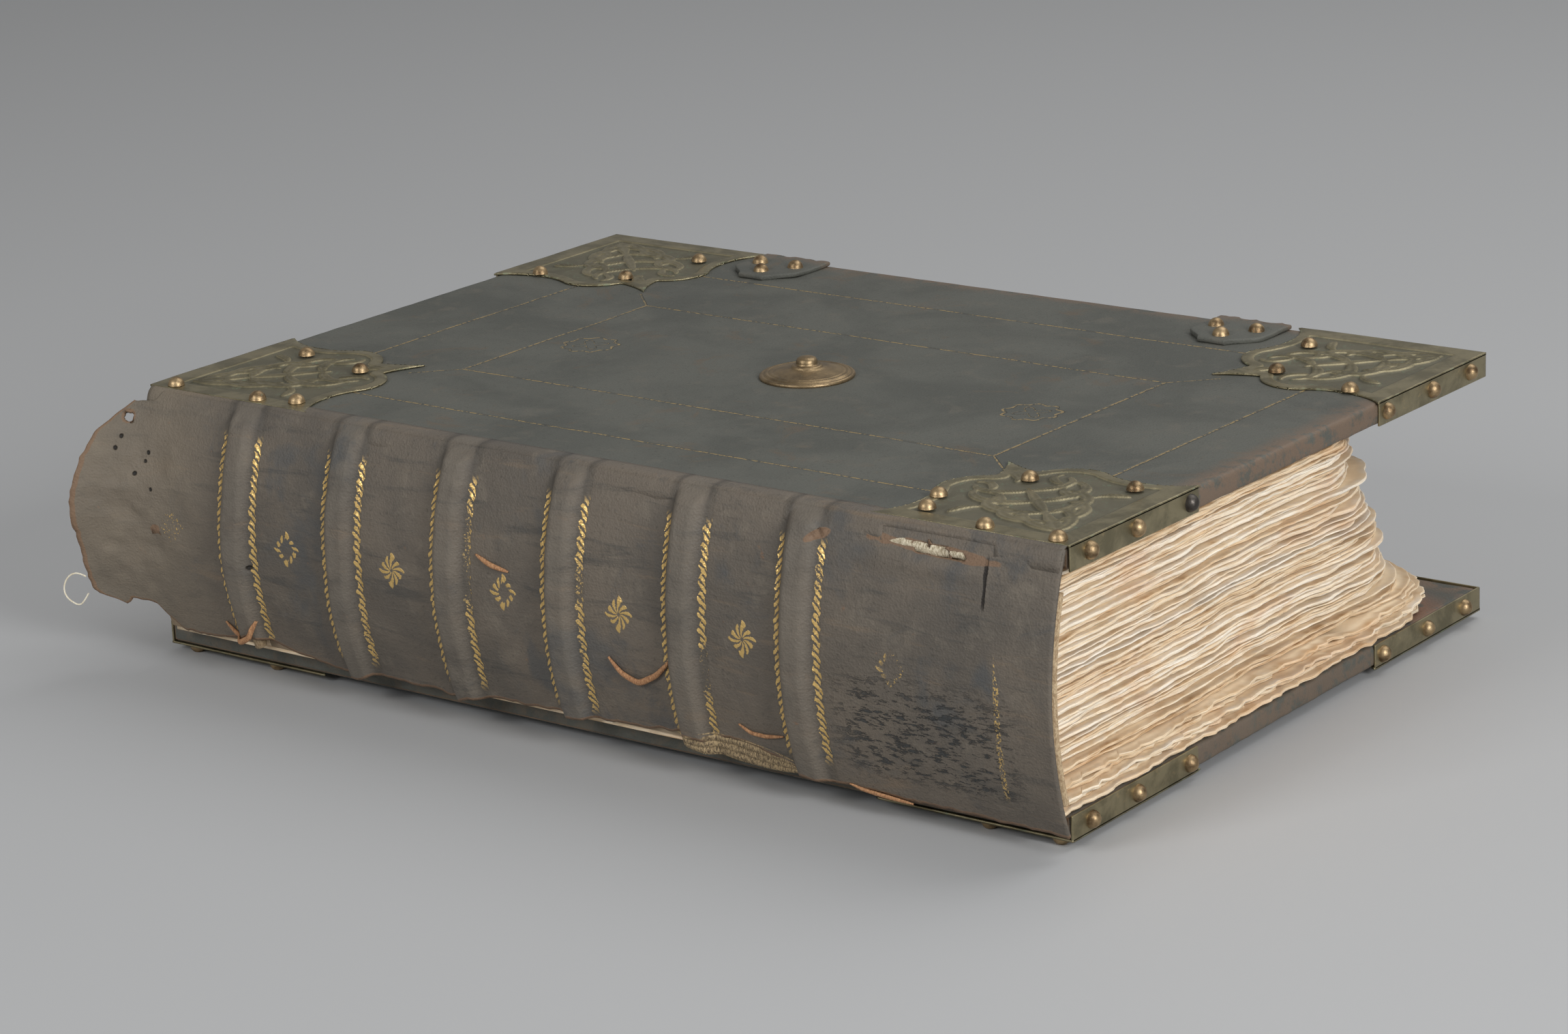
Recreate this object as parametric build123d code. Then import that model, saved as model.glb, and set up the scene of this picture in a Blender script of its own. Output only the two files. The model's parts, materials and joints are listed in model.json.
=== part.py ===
from build123d import *
import os
from math import asin, cos, degrees, pi, radians, sin, sqrt

# A large leather-bound book with wooden boards and brass furniture, lying on its lower cover.
# Millimetres. X runs along the spine from head to tail, Y from the spine to the fore-edge, Z up.
# Each cover is made flat in its own frame: the leather's outer face at z = 0, the spine edge at
# y = 0, the head edge at x = 0, and the board going down from there. It is then set in place.

# ---- driving dimensions: the covers
board_length = 440.0
board_width = 297.0
wood_thickness = 6.9
leather_thickness = 1.0
turn_in_thickness = 0.6
turn_in_width = 30.0
paper_thickness = 0.4
joint_gap = 0.6
fit_clearance = 0.1

# ---- brass furniture
brass_thickness = 0.9
plate_arm = 85.0
nail_head_diameter = 7.0
nail_head_height = 3.4
nail_worn_height = 3.0
nail_shank_diameter = 2.0
nail_shank_length = 6.4
nail_edge_margin = 0.6
boss_diameter = 38.0
boss_height = 8.0
boss_button_diameter = 8.0
boss_tang_diameter = 4.0

# ---- the leaves and the back
block_length = 429.0
block_thickness = 91.2
block_depth_top = 226.0
block_depth_bottom = 283.0
leaf_corner_radius = 45.0
head_square = 5.0
spine_bulge = 13.0
spine_leather_thickness = 1.4
lining_thickness = 0.6
lining_clearance = 0.15
cord_diameter = 5.0
band_places = (57.0, 112.0, 167.5, 222.0, 279.0, 330.5)
band_half_angle = 19.5
head_overhang = 20.0
head_flare = 14.0
head_flare_start = 15.0
head_tear_height = 110.0
tail_overhang = -1.0
tear_end = 352.0
tear_height = 16.0
endband_diameter = 3.6
endband_half_angle = 17.0

# ---- how the covers sit on the leaves
cover_tilt = 0.54
lower_shift_x = -4.8
lower_shift_y = 4.3
seat_gap = 0.3

# ---- clasp straps and catches
strap_width = 34.0
strap_thickness = 2.0
strap_plate_gap = 2.0
strap_reach = 37.0
strap_nail_spread = 9.5
catch_width = 24.0
catch_reach = 16.0

# ---- sewing thread that hangs out at the head: diameter and the route's points
thread_diameter = 0.7
thread_route = (
    (-20.25, -24.8, 37.4),
    (-23.4, -25.6, 38.8),
    (-26.9, -26.8, 38.0),
    (-29.3, -27.8, 35.2),
    (-30.2, -28.4, 31.6),
    (-29.0, -28.4, 28.4),
    (-26.2, -27.8, 26.4),
    (-23.0, -27.2, 25.4),
    (-20.6, -26.6, 27.4),
    (-18.7, -25.8, 30.8),
)

# ---- derived sizes
cover_depth = leather_thickness + wood_thickness + turn_in_thickness + paper_thickness
wood_top = -leather_thickness
wood_bottom = wood_top - wood_thickness
turn_in_bottom = wood_bottom - turn_in_thickness
inner_face = turn_in_bottom - paper_thickness
lower_face = brass_thickness + nail_worn_height
block_bottom = lower_face + cover_depth + seat_gap
joint_height = block_bottom + block_thickness + seat_gap + cover_depth
nail_radius = nail_head_diameter / 2

# The back is one cylinder about an axis along X: an arc through both joints and the bulge.
joint_drop = 0.7
arc_half_chord = (joint_height - lower_face) / 2 - joint_drop
arc_middle = (joint_height + lower_face) / 2
arc_joint_depth = 2.0
arc_rise = spine_bulge - arc_joint_depth
leather_radius = (arc_half_chord**2 + arc_rise**2) / (2 * arc_rise)
arc_axis_y = leather_radius - spine_bulge
arc_half_angle = degrees(asin(arc_half_chord / leather_radius))
leather_inner_radius = leather_radius - spine_leather_thickness
lining_radius = leather_inner_radius - lining_clearance
block_radius = lining_radius - lining_thickness - lining_clearance
cord_radius = cord_diameter / 2
cord_ring_radius = block_radius + lining_clearance + cord_radius
band_channel = cord_radius + lining_clearance
band_radius = band_channel + spine_leather_thickness
leather_start = -head_overhang
leather_end = board_length + tail_overhang

# ---- middles of the straps and catches along the board, clear of the corner plates
strap_end = plate_arm + strap_plate_gap + strap_width / 2
strap_places = (strap_end, board_length - strap_end)

# ---- nails of each plate, as (distance along the board, distance across it) from its corner
fore_face_nails = ((18.0, 75.0), (57.0, 64.0), (66.0, 24.0))
spine_line = joint_gap + nail_radius + nail_edge_margin
spine_head_nails = ((10.5, spine_line), (55.0, spine_line), (72.0, 9.0), (62.0, 57.0), (24.5, 66.0))
spine_tail_nails = (
    (7.5, spine_line),
    (38.0, spine_line),
    (68.5, 13.0),
    (74.0, 28.0),
    (57.0, 61.0),
    (17.0, 68.5),
)
end_nails = (13.0, 43.0, 78.0)
side_nails = (20.0, 48.0, 76.0)
edge_line = (inner_face + brass_thickness) / 2


def box(x0, x1, y0, y1, z0, z1):
    """A block between two corners."""
    size = Box(x1 - x0, y1 - y0, z1 - z0, align=(Align.MIN, Align.MIN, Align.MIN))
    return Pos(x0, y0, z0) * size


def fuse(shapes):
    """One shape from several."""
    whole = shapes[0]
    for shape in shapes[1:]:
        whole = whole + shape
    return whole


def cut(shape, tools):
    """The shape less each tool."""
    for tool in tools:
        shape = shape - tool
    return shape


# ---------------------------------------------------------------- nails, boss


def dome_nail(crown):
    """A nail pointing down from the plate's face at z = 0, its domed head cut off at the crown's height."""
    sphere = (nail_radius**2 + nail_head_height**2) / (2 * nail_head_height)
    cap = Pos(0, 0, nail_head_height - sphere) * Sphere(sphere)
    head = cap & box(-nail_radius, nail_radius, -nail_radius, nail_radius, 0, crown)
    shank = Pos(0, 0, -nail_shank_length / 2) * Cylinder(nail_shank_diameter / 2, nail_shank_length)
    return head + shank


def nail_hole():
    """The room of a nail's shank, reaching a little past both of its ends."""
    radius = nail_shank_diameter / 2 + fit_clearance
    length = nail_shank_length + fit_clearance
    return Pos(0, 0, fit_clearance - length / 2) * Cylinder(radius, length + fit_clearance)


def boss():
    """The turned boss: a dished disc with a bead at its rim and a stepped button, on a tang."""
    rim = boss_diameter / 2
    button = boss_button_diameter / 2
    tang = boss_tang_diameter / 2
    outline = Polyline(
        (0, -nail_shank_length),
        (tang, -nail_shank_length),
        (tang, 0),
        (rim, 0),
        (rim, 1.2),
        (rim - 1.4, 2.4),
        (rim - 3.2, 1.8),
        (button + 7.0, 3.0),
        (button + 2.6, 4.6),
        (button + 2.0, 6.2),
        (button, 6.4),
        (button, boss_height - 0.8),
        (button - 0.8, boss_height),
        (0, boss_height),
        close=True,
    )
    return revolve(make_face(Plane.XZ * outline), Axis.Z)


# ---------------------------------------------------------------- corner plates


def mirrored(points):
    """The same points across the plate's diagonal."""
    return [(v, u) for u, v in points]


def plate_outline(start):
    """The scalloped outline of a plate. One corner is at (0, 0); the long sides are the board's edges."""
    arm = plate_arm
    hollow = (arm - 8.0, 21.0)
    shoulder = (arm - 3.0, 38.0)
    lobe = (arm - 4.0, 51.0)
    cusp = (arm - 14.0, 60.0)
    waist = (arm - 11.4, 69.6)
    tip = (arm - 7.0, arm - 7.0)
    arcs = [
        ThreePointArc((arm, start), hollow, shoulder),
        ThreePointArc(shoulder, lobe, cusp),
        ThreePointArc(cusp, waist, tip),
        ThreePointArc(*mirrored([tip, waist, cusp])),
        ThreePointArc(*mirrored([cusp, lobe, shoulder])),
        ThreePointArc(*mirrored([shoulder, hollow, (arm, 0)])),
    ]
    sides = [Line((0, start), (arm, start)), Line((0, arm), (0, start))]
    return make_face(Wire([sides[0], *arcs, sides[1]]))


def plate_piercings():
    """The openings of the scrollwork: comma-shaped slots beside each arm and one pair on the diagonal."""
    slots = []
    for u, v, turn, length, width in (
        (34.0, 12.0, 12.0, 15.0, 2.6),
        (56.0, 14.0, -18.0, 12.0, 2.4),
        (46.0, 30.0, 40.0, 13.0, 2.6),
        (66.0, 38.0, 78.0, 12.0, 2.2),
        (62.0, 52.0, 20.0, 9.0, 2.0),
    ):
        for place, angle in (((u, v), turn), ((v, u), 90.0 - turn)):
            slots.append(Pos(*place) * Rot(Z=angle) * SlotOverall(length, width))
    slots.append(Pos(24.0, 24.0) * Rot(Z=45) * SlotOverall(14.0, 3.0))
    slots.append(Pos(52.0, 52.0) * Rot(Z=-45) * SlotOverall(12.0, 2.4))
    return slots


def corner_plate(start, folds_over_side):
    """A sheet plate on the cover's face, folded over the board's end and, at the fore-edge, its side."""
    sheet = extrude(plate_outline(start), brass_thickness)
    openings = [Pos(0, 0, -1) * extrude(slot, brass_thickness + 2) for slot in plate_piercings()]
    sheet = cut(sheet, openings)
    fold_end = plate_arm - 1.0
    folds = [box(0, brass_thickness, start, fold_end, inner_face, 0)]
    if folds_over_side:
        folds.append(box(0, fold_end, 0, brass_thickness, inner_face, 0))
    return fuse([sheet, *folds])


def at_tail(shape):
    """A head corner's shape mirrored to the tail."""
    return Pos(board_length, 0, 0) * mirror(shape, Plane.YZ)


def at_fore_edge(shape):
    """A spine corner's shape mirrored to the fore-edge."""
    return Pos(0, board_width, 0) * mirror(shape, Plane.XZ)


def end_nail_locations(places):
    """Nails driven into a board's end, at x = 0, through the plate's fold."""
    return [Location((0, v, edge_line), (0, -90, 0)) for v in places]


def side_nail_locations(places):
    """Nails driven into a board's side, at y = 0."""
    return [Location((u, 0, edge_line), (90, 0, 0)) for u in places]


def face_nail_locations(places):
    """Nails driven into the cover's face."""
    return [Location((u, v, brass_thickness)) for u, v in places]


def plate_corners():
    """Each corner's name, plate, way to its place, and its nails' places on the face, end and side."""
    spine_plate = corner_plate(joint_gap, False)
    fore_plate = corner_plate(0, True)

    def same(shape):
        return shape

    def far_tail(shape):
        return at_tail(at_fore_edge(shape))

    return (
        ("head_spine", spine_plate, same, spine_head_nails, False),
        ("tail_spine", spine_plate, at_tail, spine_tail_nails, False),
        ("head_fore", fore_plate, at_fore_edge, fore_face_nails, True),
        ("tail_fore", fore_plate, far_tail, fore_face_nails, True),
    )


# ---------------------------------------------------------------- one cover


def straps():
    """Each strap stub's outline, pointed towards the spine, and the places of its three nails."""
    made = []
    for middle in strap_places:
        half = strap_width / 2
        fore = board_width - brass_thickness
        inner = board_width - strap_reach
        outline = Polyline(
            (middle - half, fore),
            (middle + half, fore),
            (middle + half, inner + 12.0),
            (middle + half - 8.0, inner + 4.0),
            (middle, inner),
            (middle - half + 8.0, inner + 4.0),
            (middle - half, inner + 12.0),
            close=True,
        )
        nails = (
            (middle, inner + 8.0),
            (middle - strap_nail_spread, inner + 20.0),
            (middle + strap_nail_spread, inner + 20.0),
        )
        made.append((extrude(make_face(outline), strap_thickness), nails))
    return made


def catches():
    """Each catch: a sheet on the outer face folded over the fore-edge, and its two nails' places."""
    made = []
    for middle in strap_places:
        half = catch_width / 2
        inner = board_width - catch_reach
        sheet = box(middle - half, middle + half, inner, board_width, 0, brass_thickness)
        fold = box(middle - half, middle + half, board_width - brass_thickness, board_width, inner_face, 0)
        slit = box(middle - 7.0, middle + 7.0, board_width - 4.0, board_width + 1, -4.5, -2.0)
        nails = ((middle - 6.5, inner + 6.0), (middle + 6.5, inner + 6.0))
        made.append(((sheet + fold) - slit, nails))
    return made


def cover(side, crown, with_boss):
    """One cover's pieces by node name, flat in the cover's own frame."""
    pieces = {}
    holes = []
    for name, plate, place, nails, folds_over_side in plate_corners():
        locations = face_nail_locations(nails) + end_nail_locations(end_nails)
        if folds_over_side:
            locations += side_nail_locations(side_nails)
        bores = [place(location * nail_hole()) for location in locations]
        heads = []
        for location in locations:
            on_face = location.position.Z > 0
            heads.append(place(location * dome_nail(crown if on_face else nail_head_height)))
        holes += bores
        pieces[f"{side}_{name}_plate"] = cut(place(plate), bores)
        pieces[f"{side}_{name}_nails"] = heads
    if with_boss:
        centre = (board_length / 2 + 3.0, board_width / 2 - 7.0)
        pieces["centre_boss"] = Pos(*centre, 0) * boss()
        bore = Cylinder(boss_tang_diameter / 2 + fit_clearance, 4 * nail_shank_length)
        holes.append(Pos(*centre, 0) * bore)
        worn = pieces[f"{side}_tail_spine_nails"]
        pieces["iron_nail"] = worn.pop()
        pieces["strap_nails"] = []
        for end, (strap, places) in zip(("head", "tail"), straps()):
            locations = [Location((u, v, strap_thickness)) for u, v in places]
            bores = [location * nail_hole() for location in locations]
            holes += bores
            pieces[f"{end}_strap_stub"] = cut(strap, bores)
            pieces["strap_nails"] += [location * dome_nail(nail_head_height) for location in locations]
    else:
        pieces["catch_nails"] = []
        for end, (catch, places) in zip(("head", "tail"), catches()):
            locations = face_nail_locations(places)
            bores = [location * nail_hole() for location in locations]
            holes += bores
            pieces[f"{end}_catch"] = cut(catch, bores)
            pieces["catch_nails"] += [location * dome_nail(crown) for location in locations]
    pieces[f"{side}_board"] = cut(board(), holes)
    pieces[f"{side}_cover_leather"] = cut(cover_leather(), holes)
    pieces[f"{side}_pastedown"] = pastedown()
    return pieces


def board():
    """The wooden board."""
    inset = brass_thickness + leather_thickness
    return box(
        inset, board_length - inset, joint_gap + fit_clearance, board_width - inset, wood_bottom, wood_top
    )


def cover_leather():
    """The leather over the board's face, ends and fore-edge, turned in round the inner face."""
    edge = brass_thickness
    inset = edge + leather_thickness
    far = board_width - inset
    skin = box(edge, board_length - edge, joint_gap, board_width - edge, turn_in_bottom, 0)
    wood = box(inset, board_length - inset, -1, far, wood_bottom, wood_top)
    window = box(
        edge + turn_in_width,
        board_length - edge - turn_in_width,
        -1,
        board_width - edge - turn_in_width,
        turn_in_bottom - 1,
        wood_bottom,
    )
    return skin - wood - window


def pastedown():
    """The paper on the inner face: it fills the window between the turn-ins and laps over them."""
    edge = brass_thickness + turn_in_width
    fill = box(
        edge + seat_gap,
        board_length - edge - seat_gap,
        joint_gap + 2.0,
        board_width - edge - seat_gap,
        inner_face,
        wood_bottom - fit_clearance,
    )
    lap = edge - 12.0
    sheet = box(lap, board_length - lap, joint_gap + 2.0, board_width - lap, inner_face, turn_in_bottom)
    return fill + sheet


# ---------------------------------------------------------------- the leaves and the back


def on_arc(radius, angle):
    """A point (y, z) of the back's cylinder, the angle measured up from its middle."""
    y = arc_axis_y - radius * cos(radians(angle))
    z = arc_middle + radius * sin(radians(angle))
    return (y, z)


def arc_shell(outer, inner, half_angle, x0, x1):
    """A piece of tube wall along the back, between two radii and two ends."""
    outside = ThreePointArc(on_arc(outer, half_angle), on_arc(outer, 0), on_arc(outer, -half_angle))
    inside = ThreePointArc(on_arc(inner, -half_angle), on_arc(inner, 0), on_arc(inner, half_angle))
    foot = Line(on_arc(outer, -half_angle), on_arc(inner, -half_angle))
    head = Line(on_arc(inner, half_angle), on_arc(outer, half_angle))
    face = make_face(Wire([outside, foot, inside, head]))
    return Pos(x0, 0, 0) * extrude(Plane.YZ * face, x1 - x0)


def ring_part(x, ring_radius, radius, half_angle):
    """A round cord bent round the back at x."""
    top = radians(half_angle)
    start = Plane(origin=(x, arc_axis_y, arc_middle), x_dir=(0, -cos(top), sin(top)), z_dir=(1, 0, 0))
    return start.location * Torus(ring_radius, radius, major_angle=2 * half_angle, align=None)


def leather_wall():
    """The leather's curved wall, flaring out at the head where its turn-in has come undone."""
    outer = leather_radius
    inner = leather_inner_radius
    middle = (leather_start + head_flare_start) / 2
    swell = head_flare / 4
    bend = head_flare_start
    lip = leather_start
    outline = [
        Line((leather_end, inner), (leather_end, outer)),
        Line((leather_end, outer), (bend, outer)),
        ThreePointArc((bend, outer), (middle, outer + swell), (lip, outer + head_flare)),
        Line((lip, outer + head_flare), (lip, inner + head_flare)),
        ThreePointArc((lip, inner + head_flare), (middle, inner + swell), (bend, inner)),
        Line((bend, inner), (leather_end, inner)),
    ]
    top = radians(arc_half_angle)
    centre = (0, arc_axis_y, arc_middle)
    start = Plane(origin=centre, x_dir=(1, 0, 0), z_dir=(0, -sin(top), -cos(top)))
    return revolve(start * make_face(Wire(outline)), Axis(centre, (1, 0, 0)), 2 * arc_half_angle)


def spine_leather():
    """The leather over the back: a curved wall, ridged over each cord, torn away along its lower edge."""
    ridges = [ring_part(x, cord_ring_radius, band_radius, band_half_angle) for x in band_places]
    core = Pos(0, arc_axis_y, arc_middle) * Rot(Y=90) * Cylinder(leather_inner_radius, 3 * board_length)
    ridges = [ridge - core for ridge in ridges]
    channels = [ring_part(x, cord_ring_radius, band_channel, band_half_angle + 1.0) for x in band_places]
    leather = cut(fuse([leather_wall(), *ridges]), channels)
    outside = leather_start - 1
    depth = -spine_bulge - head_flare - 1
    lower_tear = box(outside, tear_end, depth, arc_axis_y, -joint_height, tear_height)
    head_tear = box(outside, head_flare_start, depth, arc_axis_y, head_tear_height, 2 * joint_height)
    return leather - lower_tear - head_tear


def spine_linings():
    """Parchment patches glued on the back between the cords."""
    margin = band_channel + 1.0
    starts = [head_square + 1.0] + [x + margin for x in band_places]
    ends = [x - margin for x in band_places] + [head_square + block_length - 1.0]
    outer = lining_radius
    inner = block_radius + lining_clearance
    return [arc_shell(outer, inner, band_half_angle - 1.0, x0, x1) for x0, x1 in zip(starts, ends)]


def text_block():
    """The sewn leaves: rounded at the back, their fore-edge leaning, their outer corners worn round."""
    x0 = head_square
    x1 = head_square + block_length
    height = block_thickness
    lean = (block_depth_bottom - block_depth_top) / height
    far = block_depth_bottom
    near = -2 * spine_bulge
    plan = make_face(Polyline((x0, near), (x1, near), (x1, far), (x0, far), close=True))
    corners = plan.vertices().sort_by(Axis.Y)[-2:]
    plan = fillet(corners, leaf_corner_radius)
    slant = height * sqrt(1 + lean**2)
    leaves = Pos(0, 0, block_bottom) * extrude(plan, amount=slant, dir=(0, -lean, 1))
    slope = sin(radians(cover_tilt))
    back = ThreePointArc(
        on_arc(block_radius, arc_half_angle),
        on_arc(block_radius, 0),
        on_arc(block_radius, -arc_half_angle),
    )
    reach = board_width + lower_shift_y
    side = Polyline(back @ 1, (reach, (back @ 1).Y), (reach, (back @ 0).Y), back @ 0)
    section = extrude(Plane.YZ * make_face(Wire([back, *side.edges()])), board_length)
    top = block_bottom + height
    low = (reach, top - reach * slope)
    high = (near, top - near * slope)
    over = make_face(Polyline(high, low, (reach, 2 * top), (near, 2 * top), close=True))
    above = extrude(Plane.YZ * over, board_length)
    return (leaves & section) - above


def endband(x):
    """The endband's core, bent round the back's edge against the leaves' end."""
    return ring_part(x, block_radius - endband_diameter, endband_diameter / 2, endband_half_angle)


def loose_thread():
    """A short end of sewing thread, hanging out past the leather at the head."""
    points = [Vector(*point) for point in thread_route]
    runs = [b - a for a, b in zip(points, points[1:])]
    radii = []
    for before, after in zip(runs, runs[1:]):
        turn = radians(before.get_angle(after))
        radii.append(0.45 * min(before.length, after.length) / (sin(turn / 2) / cos(turn / 2)))
    print("thread radii", [round(radius, 2) for radius in radii])
    path = FilletPolyline(*points, radius=radii)
    section = Plane(origin=path @ 0, z_dir=path % 0) * Circle(thread_diameter / 2)
    thread = sweep(section, path=path)
    print("thread volume against section x length", thread.volume, path.length * pi * thread_diameter**2 / 4)
    return thread


# ---------------------------------------------------------------- the whole book

pieces = {}
upper = cover("front", nail_head_height, True)
upper_place = Location((0, 0, joint_height), (-cover_tilt, 0, 0))
lower = cover("back", nail_worn_height, False)
lower_place = Location((lower_shift_x, lower_shift_y, lower_face))
for name, piece in upper.items():
    solids = piece if isinstance(piece, list) else [piece]
    pieces[name] = [upper_place * solid for solid in solids]
for name, piece in lower.items():
    solids = piece if isinstance(piece, list) else [piece]
    pieces[name] = [lower_place * mirror(solid, Plane.XY) for solid in solids]

pieces["text_block"] = [text_block()]
pieces["spine_leather"] = [spine_leather()]
for number, lining in enumerate(spine_linings(), 1):
    pieces[f"spine_lining_{number}"] = [lining]
for number, x in enumerate(band_places, 1):
    pieces[f"sewing_cord_{number}"] = [ring_part(x, cord_ring_radius, cord_radius, band_half_angle)]
endband_offset = endband_diameter / 2 + seat_gap
pieces["head_endband"] = [endband(head_square - endband_offset)]
pieces["tail_endband"] = [endband(head_square + block_length + endband_offset)]

# The origin is the middle of the book's footprint, on the surface it lies on.
whole = Compound([solid for solids in pieces.values() for solid in solids]).bounding_box()
origin = Pos(-(whole.min.X + whole.max.X) / 2, -(whole.min.Y + whole.max.Y) / 2, 0)
print("origin at", -origin.position.X, -origin.position.Y, "lowest", whole.min.Z)
print("joint height", joint_height, "leather radius", leather_radius, "half angle", arc_half_angle)
pieces["loose_thread"] = [loose_thread()]

os.makedirs("parts", exist_ok=True)
for name, solids in pieces.items():
    placed = [origin * solid for solid in solids]
    export_step(placed[0] if len(placed) == 1 else Compound(placed), f"parts/{name}.step")
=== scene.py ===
import json
from math import cos, pi, radians, sin

import bmesh
import bpy
import numpy as np
from mathutils import Matrix, Vector


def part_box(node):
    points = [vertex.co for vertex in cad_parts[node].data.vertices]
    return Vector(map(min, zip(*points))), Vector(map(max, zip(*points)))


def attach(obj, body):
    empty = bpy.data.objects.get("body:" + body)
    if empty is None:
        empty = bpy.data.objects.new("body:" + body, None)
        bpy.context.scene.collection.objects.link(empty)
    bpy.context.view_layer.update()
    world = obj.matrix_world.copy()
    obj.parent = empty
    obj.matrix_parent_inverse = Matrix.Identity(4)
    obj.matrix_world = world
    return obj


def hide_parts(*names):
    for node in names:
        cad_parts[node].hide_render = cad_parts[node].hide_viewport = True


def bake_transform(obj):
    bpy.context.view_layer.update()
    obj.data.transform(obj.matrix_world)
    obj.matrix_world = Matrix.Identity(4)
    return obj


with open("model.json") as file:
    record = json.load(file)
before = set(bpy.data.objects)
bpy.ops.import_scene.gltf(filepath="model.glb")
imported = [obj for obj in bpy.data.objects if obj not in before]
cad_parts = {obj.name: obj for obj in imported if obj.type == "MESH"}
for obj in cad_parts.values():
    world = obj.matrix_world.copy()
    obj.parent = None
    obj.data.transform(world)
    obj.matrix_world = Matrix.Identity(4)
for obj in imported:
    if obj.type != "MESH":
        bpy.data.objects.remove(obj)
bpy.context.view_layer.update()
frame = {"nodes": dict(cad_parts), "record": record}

# Sizes are millimetres in the book's own frame: x from the head along the spine, y from the spine edge
# to the fore-edge, z up. A cover's pieces are laid out flat, z up from its leather, and then placed.
book = {
    "boardLength": 440.0,
    "boardWidth": 297.0,
    "leafBottom": 13.1,
    "lowerShift": (-4.8, 4.3),
    "lowerFace": 3.9,
    "jointHeight": 113.5,
    "tilt": 0.54,
    "coverDepth": 8.9,
    "bands": (57.0, 112.0, 167.5, 222.0, 279.0, 330.5),
}
lowCorner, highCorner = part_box("front_cover_leather")
originX = -(lowCorner[0] + highCorner[0]) * 500 + book["boardLength"] / 2
originY = 0.53 - lowCorner[1] * 1000


# ---------- meshes

def toModel(points):
    """Book millimetres to the model's metres."""
    moved = np.array(points, dtype=float)
    moved[..., 0] -= originX
    moved[..., 1] -= originY
    return moved * 0.001


def onUpper(points):
    turned = np.array(points, dtype=float)
    angle = radians(-book["tilt"])
    y, z = turned[..., 1].copy(), turned[..., 2].copy()
    turned[..., 1] = y * cos(angle) - z * sin(angle)
    turned[..., 2] = y * sin(angle) + z * cos(angle) + book["jointHeight"]
    return turned


def onLower(points):
    moved = np.array(points, dtype=float)
    moved[..., 0] += book["lowerShift"][0]
    moved[..., 1] += book["lowerShift"][1]
    moved[..., 2] = book["lowerFace"] - moved[..., 2]
    return moved


def asIs(points):
    return points


def noise(x, y, size, seed):
    """Smooth value noise from -1 to 1, with features of the given size."""
    lattice = np.random.default_rng(seed).uniform(-1, 1, (128, 128))
    u, v = np.asarray(x) / size + 500.0, np.asarray(y) / size + 500.0
    i, j = np.floor(u).astype(int), np.floor(v).astype(int)
    s, t = u - i, v - j
    s, t = s * s * (3 - 2 * s), t * t * (3 - 2 * t)
    i, j, k, l = i % 128, j % 128, (i + 1) % 128, (j + 1) % 128
    low = lattice[i, j] * (1 - s) + lattice[k, j] * s
    high = lattice[i, l] * (1 - s) + lattice[k, l] * s
    return low * (1 - t) + high * t


def smooth(value, low, high):
    t = np.clip((value - low) / (high - low), 0, 1)
    return t * t * (3 - 2 * t)


def gridFaces(rows, columns, wrap=False):
    """Quads over a grid of rows by columns of points. wrap closes it along the columns."""
    last = columns if wrap else columns - 1
    i, j = np.meshgrid(np.arange(rows - 1), np.arange(last), indexing="ij")
    k = (j + 1) % columns
    here, below = i * columns, (i + 1) * columns
    return np.stack([here + j, below + j, below + k, here + k], -1).reshape(-1, 4)


def turnOutwards(mesh):
    work = bmesh.new()
    work.from_mesh(mesh)
    bmesh.ops.recalc_face_normals(work, faces=work.faces)
    work.to_mesh(mesh)
    work.free()


def makePiece(name, points, faces, finish, place=asIs, uv=None, values=None, level=False):
    """A mesh object in the model's frame. level turns its faces outwards."""
    points = np.asarray(points, dtype=float).reshape(-1, 3)
    mesh = bpy.data.meshes.new(name)
    mesh.from_pydata(toModel(place(points)).tolist(), [], [list(map(int, f)) for f in faces])
    if uv is not None:
        layer = mesh.uv_layers.new(name="surface")
        corners = np.zeros(len(mesh.loops), dtype=int)
        mesh.loops.foreach_get("vertex_index", corners)
        layer.data.foreach_set("uv", np.asarray(uv, dtype=float).reshape(-1, 2)[corners].ravel())
    for key, value in (values or {}).items():
        layer = mesh.attributes.new(key, "FLOAT", "POINT")
        layer.data.foreach_set("value", np.asarray(value, float).ravel())
    if level:
        turnOutwards(mesh)
    mesh.shade_smooth()
    mesh.materials.append(finish)
    piece = bpy.data.objects.new(name, mesh)
    bpy.context.collection.objects.link(piece)
    return piece


def settle(piece, body, slot, *nodes):
    """Says which body the piece moves with and the CAD pieces it stands for. The slot argument is not used.
    """
    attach(piece, body)
    if nodes:
        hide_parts(*nodes)


def dropUnused(points, faces, *others):
    """Leaves out the points that no face uses."""
    used = np.unique(faces)
    order = np.full(len(points), -1)
    order[used] = np.arange(len(used))
    return [points[used], order[faces]] + [other[used] for other in others]


def joinParts(parts):
    points, faces, count = [], [], 0
    for somePoints, someFaces in parts:
        points.append(np.asarray(somePoints, float).reshape(-1, 3))
        faces += [[int(i) + count for i in f] for f in someFaces]
        count += len(points[-1])
    return np.concatenate(points), faces


def applyModifiers(piece):
    """Turns the piece's modifiers into its mesh."""
    mesh = bpy.data.meshes.new_from_object(piece.evaluated_get(bpy.context.evaluated_depsgraph_get()))
    piece.modifiers.clear()
    old = piece.data
    piece.data = mesh
    bpy.data.meshes.remove(old)


def thicken(piece, thickness, offset):
    solid = piece.modifiers.new("thickness", "SOLIDIFY")
    solid.thickness = thickness * 0.001
    solid.offset = offset
    applyModifiers(piece)


def edgeSteps(low, high, radius, step):
    """Places along a side: close together within the rounded ends, a step apart between."""
    end = [radius * part for part in (0, 0.3, 0.65, 1.0)]
    count = max(int((high - low - 2 * radius) / step), 1)
    middle = np.linspace(low + radius, high - radius, count + 1)[1:-1]
    return np.concatenate([[low + e for e in end], middle, [high - e for e in reversed(end)]])


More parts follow.
